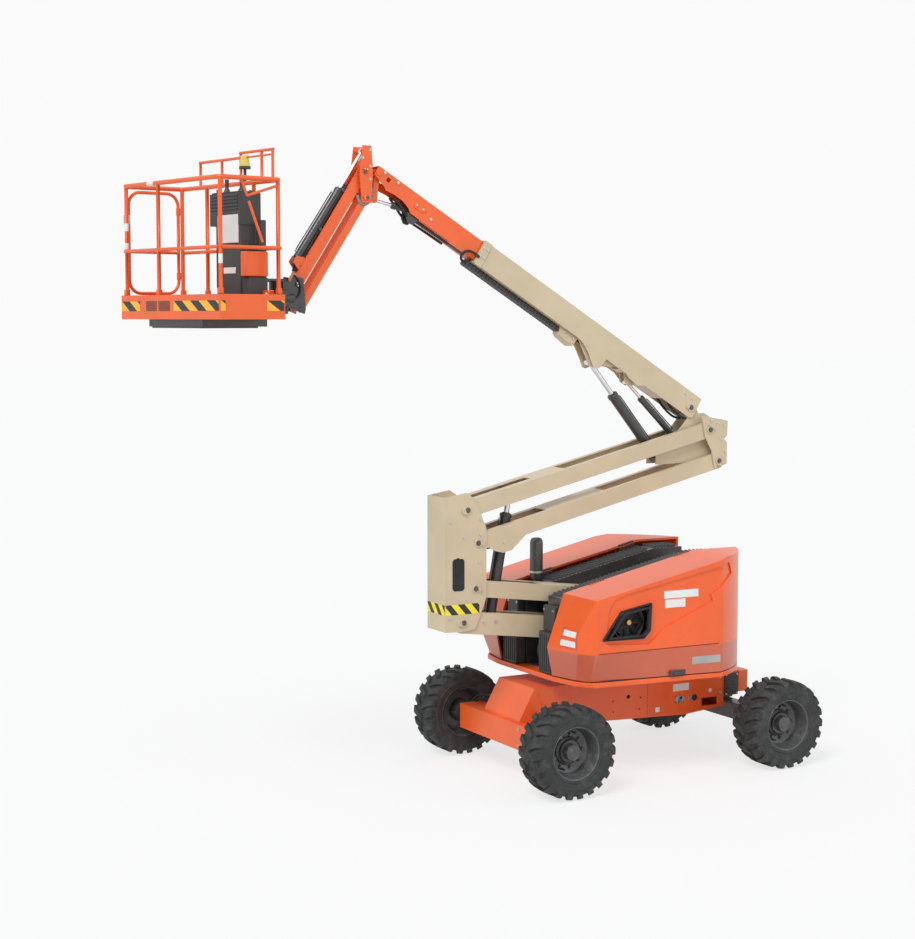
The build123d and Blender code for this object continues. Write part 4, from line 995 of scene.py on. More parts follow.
@dataclass
class Keepers:
    """Half-round keeper plates, each with two bolts, beside the pins of one body."""

    name: str
    body: str
    slot: Slot
    finish: Finish
    places: Sequence[tuple[Point, float, float]]
    side: int = -1
    thick: float = 0.016

    def build(self) -> None:
        """Builds the plates and bolts at places of (pin centre on the cheek, degrees, size)."""
        plates = Shape()
        ends = Shape()
        screws = []
        for (x, y, z), angle, size in self.places:
            ends.rod((x, y, z), (x, y + self.side * 0.012, z), size * 0.72, sides=48)
            ends.rod((x, y + self.side * 0.012, z), (x, y + self.side * 0.015, z), size * 0.45, sides=48)
            a = math.radians(angle)
            u, v = Vector((math.cos(a), math.sin(a))), Vector((-math.sin(a), math.cos(a)))
            centre = Vector((x, z)) + u * size * 0.62
            arc = [centre + u * size * math.cos(t) + v * size * 1.05 * math.sin(t)
                   for t in (math.radians(step) for step in range(-90, 91, 15))]
            plates.prism([tuple(point) for point in arc], *sorted((y, y + self.side * self.thick)))
            for sign in (-1, 1):
                spot = centre + u * size * 0.42 + v * size * 0.5 * sign
                screws.append(((spot.x, y + self.side * self.thick, spot.y), (0, self.side, 0)))
        ride(plates.done(f"{self.name}_keepers", self.finish, 0.002), self.body, self.slot)
        ends.ride(f"{self.name}_pin_ends", self.body, Finish.DARK_STEEL, 0.001)
        bolts(f"{self.name}_keeper_bolts", screws, self.body, self.places[0][2] * 0.2, 0.007, slot=self.slot)


# ---------------------------------------------------------------- cylinders
@dataclass
class Ram:
    """The fittings of one hydraulic cylinder: gland, ports, feed pipe and wiper."""

    name: str
    radius: float
    closed: float
    up: int = 1

    def build(self) -> None:
        """Builds the fittings on the barrel."""
        body = f"{self.name}_barrel"
        base = joint(f"{self.name}_barrel_pivot")
        way = Vector(JOINTS[f"{self.name}_rod_slide"]["axis"])
        run = Run(base, base + way)
        r = self.radius
        end = self.closed - 0.9 * r
        start = 0.8 * r
        rings = Shape()
        for s0, s1, grow_by in ((start, start + 0.02, 1.0), (end - 0.034, end - 0.004, 1.09),
                                (end - 0.004, end + 0.004, 0.86)):
            rings.rod(run.at(s0), run.at(s1), r * grow_by + (0.0015 if grow_by == 1.0 else 0.0), sides=48)
        rings.ride(f"{self.name}_gland", body, Finish.BLACK_PAINT, 0.002)
        wiper = Shape().rod(run.at(end + 0.003), run.at(end + 0.010), r * 0.66, sides=40)
        wiper.ride(f"{self.name}_wiper", body, Finish.DARK_STEEL, 0.001)
        off = self.up * (r + 0.011)
        ports = Shape()
        for s in (start + 0.045, end - 0.06):
            ports.rod(run.at(s, self.up * r * 0.8), run.at(s, off + 0.006), 0.011, sides=6)
        ports.ride(f"{self.name}_ports", body, Finish.ZINC, 0.001)
        route = [run.at(start + 0.045, off), run.at(start + 0.06, off + self.up * 0.004),
                 run.at((start + end) / 2, off), run.at(end - 0.075, off + self.up * 0.004),
                 run.at(end - 0.06, off)]
        hose(f"{self.name}_pipe", route, 0.0055, Finish.BLACK_PAINT, body)


# ---------------------------------------------------------------- chassis
class Chassis:
    """Plates, welds, lashing eyes and hoses of the frame and its axles."""

    flank = 0.3205
    beam_face = -1.2955
    recess = -0.32

    def build(self) -> None:
        """Builds the chassis fittings."""
        side = self.recess
        cover = Shape().block(at(1.052, side - 0.018, 0.568), at(1.208, side + 0.002, 0.782))
        for index in range(5):
            z = 0.60 + 0.037 * index
            cover.block(at(1.066, side - 0.024, z), at(1.194, side - 0.016, z + 0.014))
        cover.ride("valve_cover", "chassis", Finish.BLACK_PLASTIC, 0.003)
        corners = [(1.066, 0.582), (1.194, 0.582), (1.066, 0.769), (1.194, 0.769)]
        bolts("valve_cover_bolts", [(at(x, side - 0.018, z), (0, -1, 0)) for x, z in corners], "chassis",
              0.007, 0.006)
        end = Shape().block(at(1.214, side - 0.012, 0.592), at(1.328, side + 0.002, 0.80))
        end.ride("end_plate", "chassis", Finish.ORANGE_PAINT, 0.004)
        for tag, sign in SIDES:
            y = sign * self.flank
            skin = Skin("chassis_frame", (0, -sign, 0))
            skin.bead(f"frame_weld_{tag}", [at(0.15, y, 0.46), at(0.15, y, 0.83)], 0.004, Finish.ORANGE_PAINT,
                      "chassis")
            skin.bead(f"frame_seam_{tag}", [at(-1.07, y, 0.80), at(-0.98, y, 0.55), at(-0.85, y, 0.47)],
                      0.004, Finish.ORANGE_PAINT, "chassis")
            across = (0.445, 0.63) if y < 0 else (0.63, 0.445)
            corners = upright(at, (across[0], y), (across[1], y), 0.665, 0.735)
            skin.sticker(f"frame_plate_{tag}", corners, Finish.WHITE_PLASTIC, "chassis")
            out = sign * 0.006
            insert = Shape().rod(at(0.50, y, 0.585), at(0.50, y + out, 0.585), 0.032, sides=40)
            insert.rod(at(0.546, y, 0.585), at(0.546, y + out, 0.585), 0.032, sides=40)
            insert.block(at(0.50, min(y, y + out), 0.553), at(0.546, max(y, y + out), 0.617))
            insert.ride(f"frame_insert_{tag}", "chassis", Finish.ZINC, 0.001)
            plug = Shape().rod(at(0.697, y, 0.584), at(0.697, y + out, 0.584), 0.030, sides=40)
            plug.rod(at(0.697, y + out, 0.584), at(0.697, y + out * 1.5, 0.584), 0.018, sides=40)
            plug.ride(f"frame_plug_{tag}", "chassis", Finish.SEAL, 0.001)
            lens = Shape().rod(at(0.881, y, 0.637), at(0.881, y + out, 0.637), 0.019, sides=40)
            lens.block(at(0.236, min(y, y + out), 0.486), at(0.286, max(y, y + out), 0.534))
            lens.ride(f"frame_reflectors_{tag}", "chassis", Finish.WHITE_PLASTIC, 0.002)
        spots = [(0.632, 0.58), (0.655, 0.60), (1.0, 0.60), (1.0, 0.76)]
        bolts("frame_bolts", [(at(x, side, z), (0, -1, 0)) for x, z in spots], "chassis", 0.011, 0.009)
        eye = Shape().lathe([(0.022, -0.008), (0.036, -0.008), (0.036, 0.004), (0.022, 0.004)], 40)
        eye.rod((0, 0.003, 0), (0, 0.0035, 0), 0.024)
        eye.move(Matrix.Translation(at(self.beam_face, -0.479, 0.40))
                 @ Matrix.Rotation(math.radians(-90), 4, "Z"))
        eye.ride("lashing_eye", "chassis", Finish.SEAL, 0.001)
        spots = [(y, z) for y in (-0.66, -0.36) for z in (0.345, 0.495)]
        bolts("beam_bolts", [(at(self.beam_face, y, z), (-1, 0, 0)) for y, z in spots], "chassis", 0.012,
              0.009)
        for tag, sign in SIDES:
            for index, drop in enumerate((0.0, 0.035)):
                route = [at(-1.05, sign * 0.30, 0.60 - drop), at(-1.05, sign * 0.42, 0.63 - drop),
                         at(-1.09, sign * 0.60, 0.62 - drop), at(-1.13, sign * 0.73, 0.60 - drop),
                         at(-1.15, sign * 0.76, 0.53 - drop)]
                hose(f"drive_hose_{tag}_{index}", route, 0.011, Finish.HOSE, "chassis")
            clip = Shape().block(at(-1.10, sign * 0.5 - 0.02, 0.535), at(-1.06, sign * 0.5 + 0.02, 0.64))
            clip.ride(f"drive_hose_clip_{tag}", "chassis", Finish.BLACK_PAINT, 0.002)
        cylinder = Shape().rod(at(1.27, -0.24, 0.40), at(1.27, 0.24, 0.40), 0.034, sides=40)
        for y in (-0.25, 0.22):
            cylinder.rod(at(1.27, y, 0.40), at(1.27, y + 0.03, 0.40), 0.038, sides=40)
        cylinder.block(at(1.24, -0.09, 0.36), at(1.262, 0.09, 0.44))
        cylinder.ride("steer_cylinder", "chassis", Finish.BLACK_PAINT, 0.002)
        rods = Shape().rod(at(1.27, -0.36, 0.40), at(1.27, 0.36, 0.40), 0.015, sides=32)
        rods.ride("steer_cylinder_rod", "chassis", Finish.CHROME)


# ---------------------------------------------------------------- turntable
class Turntable:
    """The channel's louvres and front ribs, the exhaust's end, the deck's seal and the tail's fittings."""

    pitch = 0.046

    def louvres(self) -> None:
        """Slats on the sloping covers beside the booms."""
        for tag, sign in SIDES:
            y0, y1 = sorted((sign * 0.205, sign * 0.425))
            for part, x0, x1 in (("slope", -0.58 if sign > 0 else -0.85, 0.54), ("level", 0.58, 0.88)):
                z0 = self.cover(x0)
                outline = [(AXIS + x0 + x, z0 + z) for x, z in ((0, 0), (0.012, 0), (0.034, 0.026),
                                                                (0.022, 0.028))]
                rise = (self.cover(x1) - z0) / (x1 - x0) * self.pitch
                row(Shape().prism(outline, y0, y1), f"louvres_{part}_{tag}", "turntable",
                    Finish.BLACK_PLASTIC, 0.002, int((x1 - x0) / self.pitch), (self.pitch, 0.0, rise),
                    Slot.BLACK)

    @staticmethod
    def cover(x: float) -> float:
        """The top of the channel's covers at x."""
        return 1.71 + (min(x, 0.56) + 0.70) * 0.27 / 1.26

    def front(self) -> None:
        """The black ribbed housings at the channel's mouth, with hoses between them."""
        for tag, sign in SIDES:
            y0, y1 = sorted((sign * 0.205, sign * 0.435))
            housing = Shape().block(at(-0.995, y0, 0.977), at(-0.885, y1, 1.36))
            housing.block(at(-0.96, y0 + 0.02, 1.355), at(-0.885, y1 - 0.02, 1.60))
            housing.ride(f"front_housing_{tag}", "turntable", Finish.BLACK_PLASTIC, 0.012)
            rib = Shape().block(at(-1.004, y0 + 0.012, 1.0), at(-0.99, y0 + 0.024, 1.33))
            row(rib, f"front_ribs_{tag}", "turntable", Finish.BLACK_PLASTIC, 0.003, 6, (0.0, 0.037, 0.0))
            screws = [(at(-0.96, y, 1.56), (-1, 0, 0)) for y in (y0 + 0.04, y1 - 0.04)]
            bolts(f"front_housing_bolts_{tag}", screws, "turntable", 0.009, 0.007)
        for index in range(3):
            y = -0.194 + 0.013 * index
            shift = 0.024 * index
            route = [at(-0.93 + shift, y, 1.30), at(-1.0 + shift, y, 1.22), at(-0.97 + shift, y, 1.06),
                     at(-0.8, y, 1.0), at(-0.6, y, 0.99)]
            hose(f"tower_feed_hose_{index}", route, 0.011, Finish.HOSE, "turntable")

    def deck(self) -> None:
        """The seal under the hoods and the deck's bolts."""
        plan = [(-0.99, -0.46), (-0.985, -0.52), (-0.94, -0.77), (-0.85, -0.90), (-0.6, -0.935),
                (0.45, -1.02)]
        plan += [(1.11 * math.cos(math.radians(a)), 1.11 * math.sin(math.radians(a)))
                 for a in range(-60, -22, 6)]
        for tag, sign in (("near", 1), ("far", -1)):
            route = [at(x, sign * y, 0.981) for x, y in plan]
            hose(f"deck_seal_{tag}", route, 0.009, Finish.SEAL, "turntable")
        ring = []
        for index in range(36):
            a = 2 * math.pi * index / 36
            ring.append((at(0.42 * math.cos(a), 0.42 * math.sin(a), 0.852), (0, 0, -1)))
        bolts("bearing_bolts", ring, "turntable", 0.012, 0.01)

    def engine(self) -> None:
        """What shows of the engine through the hood's window."""
        hub = at(-0.50, -0.90, 1.50)
        fan = Shape().rod(hub, hub + Vector((0, -0.022, 0)), 0.05)
        for index in range(8):
            a = 2 * math.pi * index / 8
            tip = hub + Vector((0.135 * math.cos(a), -0.012, 0.135 * math.sin(a)))
            fan.rod(hub + Vector((0, -0.012, 0)), tip, 0.020, 0.034, sides=4)
        fan.ride("engine_fan", "turntable", Finish.BLACK_PLASTIC, 0.002)
        cap = Shape().rod(hub + Vector((0, -0.02, 0)), hub + Vector((0, -0.055, 0)), 0.03, 0.024, sides=40)
        cap.ride("fan_hub", "turntable", Finish.BRASS, 0.002)
        shroud = Shape().lathe([(0.150, 0.0), (0.166, 0.0), (0.166, -0.045), (0.158, -0.045), (0.150, -0.01)],
                               72)
        shift_mesh(shroud.ride("fan_shroud", "turntable", Finish.GREY_PLASTIC), Matrix.Translation(hub))
        parts = Shape().rod(at(-0.70, -0.80, 1.63), at(-0.38, -0.80, 1.63), 0.055, sides=40)
        parts.rod(at(-0.71, -0.80, 1.63), at(-0.72, -0.80, 1.63), 0.05, sides=40)
        parts.block(at(-0.66, -0.88, 1.555), at(-0.30, -0.60, 1.585))
        parts.ride("air_cleaner", "turntable", Finish.CASTING, 0.004)
        for index, (x0, x1) in enumerate(((-0.76, -0.60), (-0.42, -0.30))):
            route = [at(x0, -0.86, 1.36), at(x0 + 0.02, -0.93, 1.44), at(x1, -0.92, 1.56),
                     at(x1 + 0.03, -0.82, 1.62)]
            hose(f"coolant_hose_{index}", route, 0.02, Finish.HOSE, "turntable")

    def exhaust(self) -> None:
        """The silencer's sleeve round the exhaust stub, with a round shoulder at its mouth."""
        profile = [(0.044, 0.0), (0.060, 0.0), (0.062, 0.006), (0.062, 0.340), (0.059, 0.362), (0.052, 0.378),
                   (0.043, 0.387), (0.036, 0.389), (0.033, 0.384), (0.033, 0.25), (0.030, 0.25),
                   (0.0435, 0.2)]
        sleeve = Shape().lathe([(r, -z) for r, z in profile], 72).done("exhaust_sleeve", Finish.DARK_STEEL)
        upright = Matrix.Translation(at(-0.655, 0.392, 1.745)) @ Matrix.Rotation(math.radians(-90), 4, "X")
        ride(shift_mesh(sleeve, upright), "turntable", Slot.BLACK)
        clamp = Shape().rod(at(-0.655, 0.392, 1.80), at(-0.655, 0.392, 1.82), 0.0635)
        clamp.ride("exhaust_clamp", "turntable", Finish.ZINC, 0.001)

    def tail(self) -> None:
        """Bolts, a blank plate and red reflectors on the tail weight."""
        back = 1.11
        plate = Shape().block(at(back - 0.03, -0.16, 1.50), at(back + 0.006, 0.16, 1.62))
        plate.ride("tail_plate", "turntable", Finish.GREY_PLATE, 0.002)
        spots = [(-0.3, 1.15), (0.3, 1.15), (-0.3, 1.72), (0.3, 1.72)]
        bolts("tail_bolts", [(at(math.sqrt(back ** 2 - y * y) - 0.002, y, z), (1, y, 0)) for y, z in spots],
              "turntable", 0.024, 0.02)
        lamps = Shape()
        for y in (-0.36, 0.36):
            lamps.rod(at(1.045, y, 1.25), at(1.068, y * 1.02, 1.25), 0.038, sides=40)
        lamps.ride("tail_reflectors", "turntable", Finish.RED, 0.004)

    def build(self) -> None:
        """Builds the turntable's fittings."""
        self.louvres()
        self.front()
        self.deck()
        self.engine()
        self.exhaust()
        self.tail()


class Hood:
    """Seals, latches, hinges and blank plates of one hood."""

    window = ((-0.79, 1.385), (-0.62, 1.60), (-0.335, 1.65), (-0.345, 1.435), (-0.40, 1.385))

    def __init__(self, side: int) -> None:
        """Chooses the near hood with -1 or the far hood with +1."""
        self.side = side
        self.node = "hood_right" if side < 0 else "hood_left"
        self.flank = Skin(self.node, (0, -side, 0))
        self.nose = Skin(self.node, (1, 0, 0))

    def label(self, name: str, across: tuple[float, float], rise: tuple[float, float], finish: Finish,
              lift: float) -> None:
        """Presses a blank label onto the hood's front."""
        corners = upright(at, (-1.1, across[0]), (-1.1, across[1]), *rise)
        self.nose.sticker(name, corners, finish, self.node, lift=lift)

    def build(self) -> None:
        """Builds the hood's fittings."""
        side, node = self.side, self.node
        face = side * 1.12
        if side < 0:
            edge = [at(x, face, z) for x, z in ((-0.815, 1.373), (-0.632, 1.613), (-0.318, 1.668),
                                                (-0.33, 1.428), (-0.392, 1.366))]
            self.flank.bead("window_seal", edge, 0.011, Finish.SEAL, node, closed=True)
            middle = Vector((-0.53, 1.49))
            liner = Shape()
            for start, end in zip(self.window, (*self.window[1:], self.window[0])):
                ring = [middle.lerp(Vector(point), reach)
                        for point, reach in ((start, 1.02), (end, 1.02), (end, 0.88), (start, 0.88))]
                liner.prism([(AXIS + point.x, point.y) for point in ring], -1.0635, -1.03)
            liner.ride("window_liner", node, Finish.SEAL, 0.002)
            self.label("front_patch", (-0.63, -0.875), (1.275, 1.455), Finish.PATCH, 0.0012)
            self.label("front_plate_high", (-0.65, -0.855), (1.385, 1.435), Finish.WHITE_PLASTIC, 0.0024)
            self.label("front_plate_low", (-0.645, -0.85), (1.295, 1.35), Finish.WHITE_PLASTIC, 0.0024)
            for name, x0, x1, low, high, finish in (
                    ("side_plate_high", -0.17, 0.20, 1.70, 1.77, Finish.WHITE_PLASTIC),
                    ("side_plate_low", -0.16, 0.06, 1.615, 1.69, Finish.WHITE_PLASTIC),
                    ("skirt_plate", 0.14, 0.44, 1.075, 1.145, Finish.GREY_PLATE)):
                corners = upright(at, (x0, face), (x1, face), low, high)
                self.flank.sticker(name, corners, finish, node)
        seam = [at(x, face, 1.25) for x in (-0.86, -0.4, 0.1, 0.42)]
        self.flank.bead(f"skirt_seam_{node}", seam, 0.003, Finish.SEAL, node)
        latch = Shape()
        spot = self.flank.on(at(-0.01, face, 1.008), 0.0)
        latch.block(spot + Vector((-0.085, min(0, side * 0.02), -0.024)),
                    spot + Vector((0.085, max(0, side * 0.02), 0.026)))
        latch.block(spot + Vector((-0.05, min(0, side * 0.03), -0.014)),
                    spot + Vector((0.05, max(0, side * 0.03), 0.012)))
        latch.ride(f"latch_{node}", node, Finish.BLACK_PLASTIC, 0.004)
        strap = Shape()
        for x in (-0.62, 0.33):
            for step in range(6):
                x0 = x + 0.03 * step
                rise = (x0 + 0.70) * 0.27 / 1.26
                a = at(x0, side * 0.46, 1.77 + rise)
                strap.rod(a, a + Vector((0.024, 0, 0.024 * 0.214)), 0.0095, sides=20)
        strap.ride(f"hinge_{node}", node, Finish.BLACK_PAINT, 0.001)


# ---------------------------------------------------------------- tower
class Tower:
    """Pins, plates, stripes and seals of the folding tower."""

    cheek = 0.165
    arm_face = 0.15

    def stripes(self) -> None:
        """The hazard tape round the foot of the mid post."""
        for tag, way, ends in (
                ("near", (0, 1, 0), ((-1.953, -0.17), (-1.60, -0.17))),
                ("far", (0, -1, 0), ((-1.60, 0.17), (-1.953, 0.17))),
                ("front", (1, 0, 0), ((-1.96, 0.162), (-1.96, -0.162)))):
            corners = upright(at, *ends, 1.562, 1.655)
            Skin("mid_post", way).sticker(f"post_stripes_{tag}", corners, Finish.TAPE, "mid_post", 12, 1)

    def post(self) -> None:
        """The mid post's pins, bolts, slot liners and welds."""
        for tag, sign in SIDES:
            y = sign * self.cheek
            pins = [(-1.721, 2.503, 200), (-1.613, 2.20, 10), (-1.638, 1.787, 10), (-1.762, 1.484, 190)]
            Keepers(f"mid_post_{tag}", "mid_post", Slot.CREAM, Finish.CREAM_PAINT,
                    [(at(x, y, z), angle, 0.036) for x, z, angle in pins], sign).build()
            small = [(-1.585, 2.272), (-1.757, 2.256), (-1.60, 2.02), (-1.90, 2.40), (-1.90, 1.52),
                     (-1.585, 2.41)]
            bolts(f"mid_post_bolts_{tag}", [(at(x, y, z), (0, sign, 0)) for x, z in small], "mid_post", 0.010,
                  0.008)
            inner = Shape().block(at(-1.85, min(sign * 0.1525, sign * 0.1512), 1.78),
                                  at(-1.79, max(sign * 0.1525, sign * 0.1512), 2.09))
            inner.ride(f"slot_back_{tag}", "mid_post", Finish.SEAL)
            liner = Shape()
            ring = []
            for a in range(0, 360, 15):
                turn = math.radians(a + 7.5)
                ring.append((AXIS - 1.8155 + math.copysign(0.0315, math.cos(turn)) + 0.03 * math.cos(turn),
                             1.922 + math.copysign(0.116, math.sin(turn)) + 0.03 * math.sin(turn)))
            liner.prism(ring, *sorted((y, y + sign * 0.003)))
            liner.ride(f"slot_liner_{tag}", "mid_post", Finish.SEAL, 0.001)
            route = [at(-1.945, y, 1.42), at(-1.945, y, 2.61)]
            hose(f"post_weld_front_{tag}", route, 0.003, Finish.CREAM_PAINT, "mid_post")

    def links(self) -> None:
        """Bolts on the links."""
        for tag, sign in SIDES:
            y = sign * self.arm_face
            spots = [(-1.539, 1.472), (-1.421, 1.467)]
            bolts(f"lower_arm_bolts_{tag}", [(at(x, y, z), (0, sign, 0)) for x, z in spots], "lower_arm",
                  0.013, 0.010)
            bolts(f"gusset_bolts_{tag}", [(at(-1.33, y, 2.19), (0, sign, 0))], "upper_link", 0.013, 0.010)

    def head(self) -> None:
        """The upper post's keepers, bolts and switch box."""
        for tag, sign in SIDES:
            y = sign * self.cheek
            pins = [(0.9647, 3.1478, 60), (1.0727, 2.8448, 300)]
            Keepers(f"upper_post_{tag}", "upper_post", Slot.CREAM, Finish.CREAM_PAINT,
                    [(at(x, y, z), angle, 0.036) for x, z, angle in pins], sign).build()
            spots = [(0.977, 3.235), (1.06, 3.21), (1.13, 3.19), (1.145, 2.93), (1.10, 3.05)]
            bolts(f"upper_post_bolts_{tag}", [(at(x, y, z), (0, sign, 0)) for x, z in spots], "upper_post",
                  0.010, 0.008)
        box = Shape().block(at(1.165, -0.09, 2.90), at(1.182, 0.09, 2.99))
        box.ride("tilt_switch", "upper_post", Finish.BLACK_PLASTIC, 0.004)

    def build(self) -> None:
        """Builds the tower's fittings."""
        self.stripes()
        self.post()
        self.links()
        self.head()


# ---------------------------------------------------------------- booms
def boom_prism(shape: Shape, outline: Iterable[Point], y0: float, y1: float) -> Shape:
    """Adds a plate whose outline is given in (s, n) of the main boom."""
    return shape.prism([tuple(boom(s, n).xz) for s, n in outline], y0, y1)


def rect(s0: float, s1: float, n0: float, n1: float) -> list[tuple[float, float]]:
    """A rectangle of (s, n) points."""
    return [(s0, n0), (s1, n0), (s1, n1), (s0, n1)]


class MainBoom:
    """The base and fly booms' collar, hose chain, brackets, bolts and hoses."""

    def base(self) -> None:
        """Fittings of the base boom."""
        collar = Shape()
        for y0, y1 in ((-0.107, -0.0995), (0.0995, 0.107)):
            boom_prism(collar, rect(2.672, 2.752, -0.10, 0.137), y0, y1)
        boom_prism(collar, rect(2.672, 2.752, 0.1305, 0.137), -0.1, 0.1)
        collar.ride("mouth_collar", "base_boom", Finish.CREAM_PAINT, 0.003)
        places = []
        for side in (-1, 1):
            places += [(boom(s, n, side * 0.107), (0, side, 0)) for s in (2.69, 2.735) for n in (-0.01, 0.07)]
            places += [(boom(s, n, side * 0.1), (0, side, 0))
                       for s, n in ((0.03, 0.08), (0.12, 0.08), (0.9, -0.085), (1.33, -0.1))]
        bolts("pad_bolts", places, "base_boom", 0.009, 0.008)
        for tag, side in SIDES:
            Keepers(f"boom_root_{tag}", "base_boom", Slot.CREAM, Finish.CREAM_PAINT,
                    [(boom(0, 0, side * 0.1), 148.6, 0.036)], side).build()
        link = boom_prism(Shape(), [(1.437, -0.10), (1.474, -0.10), (1.479, -0.119), (1.474, -0.141),
                                    (1.437, -0.141), (1.442, -0.12)],
                          -0.046, 0.046)
        row(link, "hose_chain", "base_boom", Finish.BLACK_PLASTIC, 0.003, 34, boom(0.04) - boom(0.0))
        hanger = boom_prism(Shape(), [(1.43, -0.093), (1.66, -0.093), (1.63, -0.155), (1.60, -0.172),
                                      (1.45, -0.185)], -0.062, 0.062)
        hanger.ride("chain_bracket", "base_boom", Finish.CREAM_PAINT, 0.004)
        bolts("chain_bracket_bolts", [(boom(s, n, -0.062), (0, -1, 0))
                                      for s, n in ((1.48, -0.12), (1.6, -0.12), (1.48, -0.16))],
              "base_boom", 0.008, 0.007)
        loop = [boom(2.79, -0.12, -0.03), boom(2.86, -0.14, -0.05), boom(2.90, -0.08, -0.09),
                boom(2.84, -0.02, -0.118), boom(2.74, -0.03, -0.112)]
        hose("mouth_hose", loop, 0.012, Finish.HOSE, "base_boom")
        for index in range(2):
            y = -0.066 + 0.132 * index
            route = [boom(0.34, -0.03, y), boom(0.25, -0.09, y), boom(0.12, -0.12, y), boom(0.0, -0.13, y),
                     boom(-0.06, -0.09, y)]
            hose(f"root_hose_{index}", route, 0.011, Finish.HOSE, "base_boom")
        cap = boom_prism(Shape(), rect(-0.079, -0.0705, -0.03, 0.12), -0.088, 0.088)
        cap.ride("root_cap", "base_boom", Finish.BLACK_PLASTIC, 0.003)

    def fly(self) -> None:
        """Fittings of the fly boom."""
        for tag, side in SIDES:
            y = side * 0.08
            plate = Shape()
            ring = [(3.46 + 0.045 * math.cos(math.radians(a))
                     + math.copysign(0.02, math.cos(math.radians(a))),
                     0.03 + 0.032 * math.sin(math.radians(a))) for a in range(0, 360, 15)]
            boom_prism(plate, ring, *sorted((y, y + side * 0.007)))
            plate.ride(f"pad_cover_{tag}", "fly_boom", Finish.ORANGE_PAINT, 0.002)
            spots = [(3.425, 0.03), (3.495, 0.03), (3.313, 0.0), (3.90, 0.10), (3.75, 0.095)]
            bolts(f"fly_bolts_{tag}", [(boom(s, n, y + side * 0.003), (0, side, 0)) for s, n in spots],
                  "fly_boom", 0.010, 0.008)
        bracket = Shape()
        for y0, y1 in ((-0.064, -0.040), (0.040, 0.064)):
            boom_prism(bracket, [(3.40, -0.066), (3.53, -0.066), (3.51, -0.11), (3.47, -0.14), (3.43, -0.13)],
                       y0, y1)
        bracket.ride("fly_hose_bracket", "fly_boom", Finish.BLACK_PAINT, 0.003)
        for index in range(2):
            y = -0.052 + 0.104 * index
            route = [boom(3.05, -0.082, y), boom(3.25, -0.085, y), boom(3.40, -0.09, y), boom(3.50, -0.10, y),
                     boom(3.58, -0.07, y), boom(3.70, -0.02, y)]
            hose(f"fly_hose_{index}", route, 0.011, Finish.HOSE, "fly_boom")
        strip = boom_prism(Shape(), rect(2.84, 3.40, -0.0705, -0.066), -0.03, 0.03)
        strip.ride("fly_chain_guide", "fly_boom", Finish.BLACK_PLASTIC, 0.002)

    def build(self) -> None:
        """Builds the booms' fittings."""
        self.base()
        self.fly()


class Jib:
    """The jib's pins, hoses and clamps, and the swivel's flanges and drive."""

    cheek = 0.098

    def build(self) -> None:
        """Builds the jib's fittings."""
        arm = Run(joint("jib_lift"), joint("jib_head_level"))
        for tag, side in SIDES:
            y = Vector((0, side * self.cheek, 0))
            Keepers(f"jib_base_{tag}", "jib_base", Slot.ORANGE, Finish.ORANGE_PAINT,
                    [(joint("jib_lift") + y, 80, 0.023), (joint("jib_link_pivot") + y, 180, 0.023)],
                    side).build()
            Keepers(f"jib_head_{tag}", "jib_head", Slot.BLACK, Finish.BLACK_PAINT,
                    [(joint("jib_head_level") + y, 200, 0.023)], side).build()
            base = joint("jib_base_level")
            spots = [(-0.095, 0.19), (-0.165, 0.12), (-0.095, -0.06), (-0.095, 0.05)]
            bolts(f"jib_base_bolts_{tag}", [(base + Vector((x, 0, z)) + y, (0, side, 0)) for x, z in spots],
                  "jib_base", 0.008, 0.007)
            weld = [arm.at(0.06, -0.049, side * 0.06), arm.at(1.08, -0.049, side * 0.06)]
            hose(f"jib_weld_{tag}", weld, 0.003, Finish.ORANGE_PAINT, "jib_arm")
        for index in range(3):
            y = -0.03 + 0.03 * index
            route = [arm.at(0.17, -0.064, y), arm.at(0.5, -0.064, y), arm.at(0.95, -0.064, y),
                     arm.at(1.06, -0.064, y)]
            hose(f"jib_hose_{index}", route, 0.010, Finish.HOSE, "jib_arm")
        clamps = Shape()
        for s in (0.22, 0.62, 0.92):
            clamps.prism([tuple(arm.at(s + ds, n).xz) for ds, n in ((0, -0.048), (0.03, -0.048),
                                                                    (0.03, -0.08), (0, -0.08))], -0.05, 0.05)
        clamps.ride("jib_hose_clamps", "jib_arm", Finish.BLACK_PAINT, 0.002)
        base = joint("jib_base_level")
        loop = [base + Vector(v) for v in ((-0.075, -0.06, -0.09), (-0.06, -0.075, -0.20),
                                           (-0.12, -0.082, -0.285), (-0.20, -0.08, -0.27),
                                           (-0.205, -0.07, -0.20))]
        hose("jib_base_hose", loop, 0.013, Finish.GREY_HOSE, "jib_base")
        post = joint("platform_rotate")
        swivel = Shape()
        for z0, z1, r in ((0.012, 0.02, 0.094), (-0.238, -0.228, 0.094), (-0.12, -0.09, 0.09)):
            swivel.rod(post + Vector((0, 0, z0)), post + Vector((0, 0, z1)), r, sides=64)
        swivel.block(post + Vector((-0.05, -0.115, -0.19)), post + Vector((0.05, -0.06, -0.06)))
        swivel.rod(post + Vector((-0.10, -0.092, -0.125)), post + Vector((0.10, -0.092, -0.125)), 0.036,
                   sides=40)
        swivel.ride("swivel_drive", "jib_head", Finish.BLACK_PAINT, 0.003)
        ring = [(post + Vector((0.086 * math.cos(a), 0.086 * math.sin(a), -0.09)), (0, 0, 1))
                for a in (math.radians(step) for step in range(15, 360, 30))]
        bolts("swivel_bolts", ring, "jib_head", 0.006, 0.006)
        route = [post + Vector(v) for v in ((0.10, -0.092, -0.125), (0.14, -0.10, -0.12),
                                            (0.16, -0.11, -0.03), (0.13, -0.105, 0.05), (0.10, -0.09, 0.07))]
        hose("swivel_hose", route, 0.009, Finish.HOSE, "jib_head")


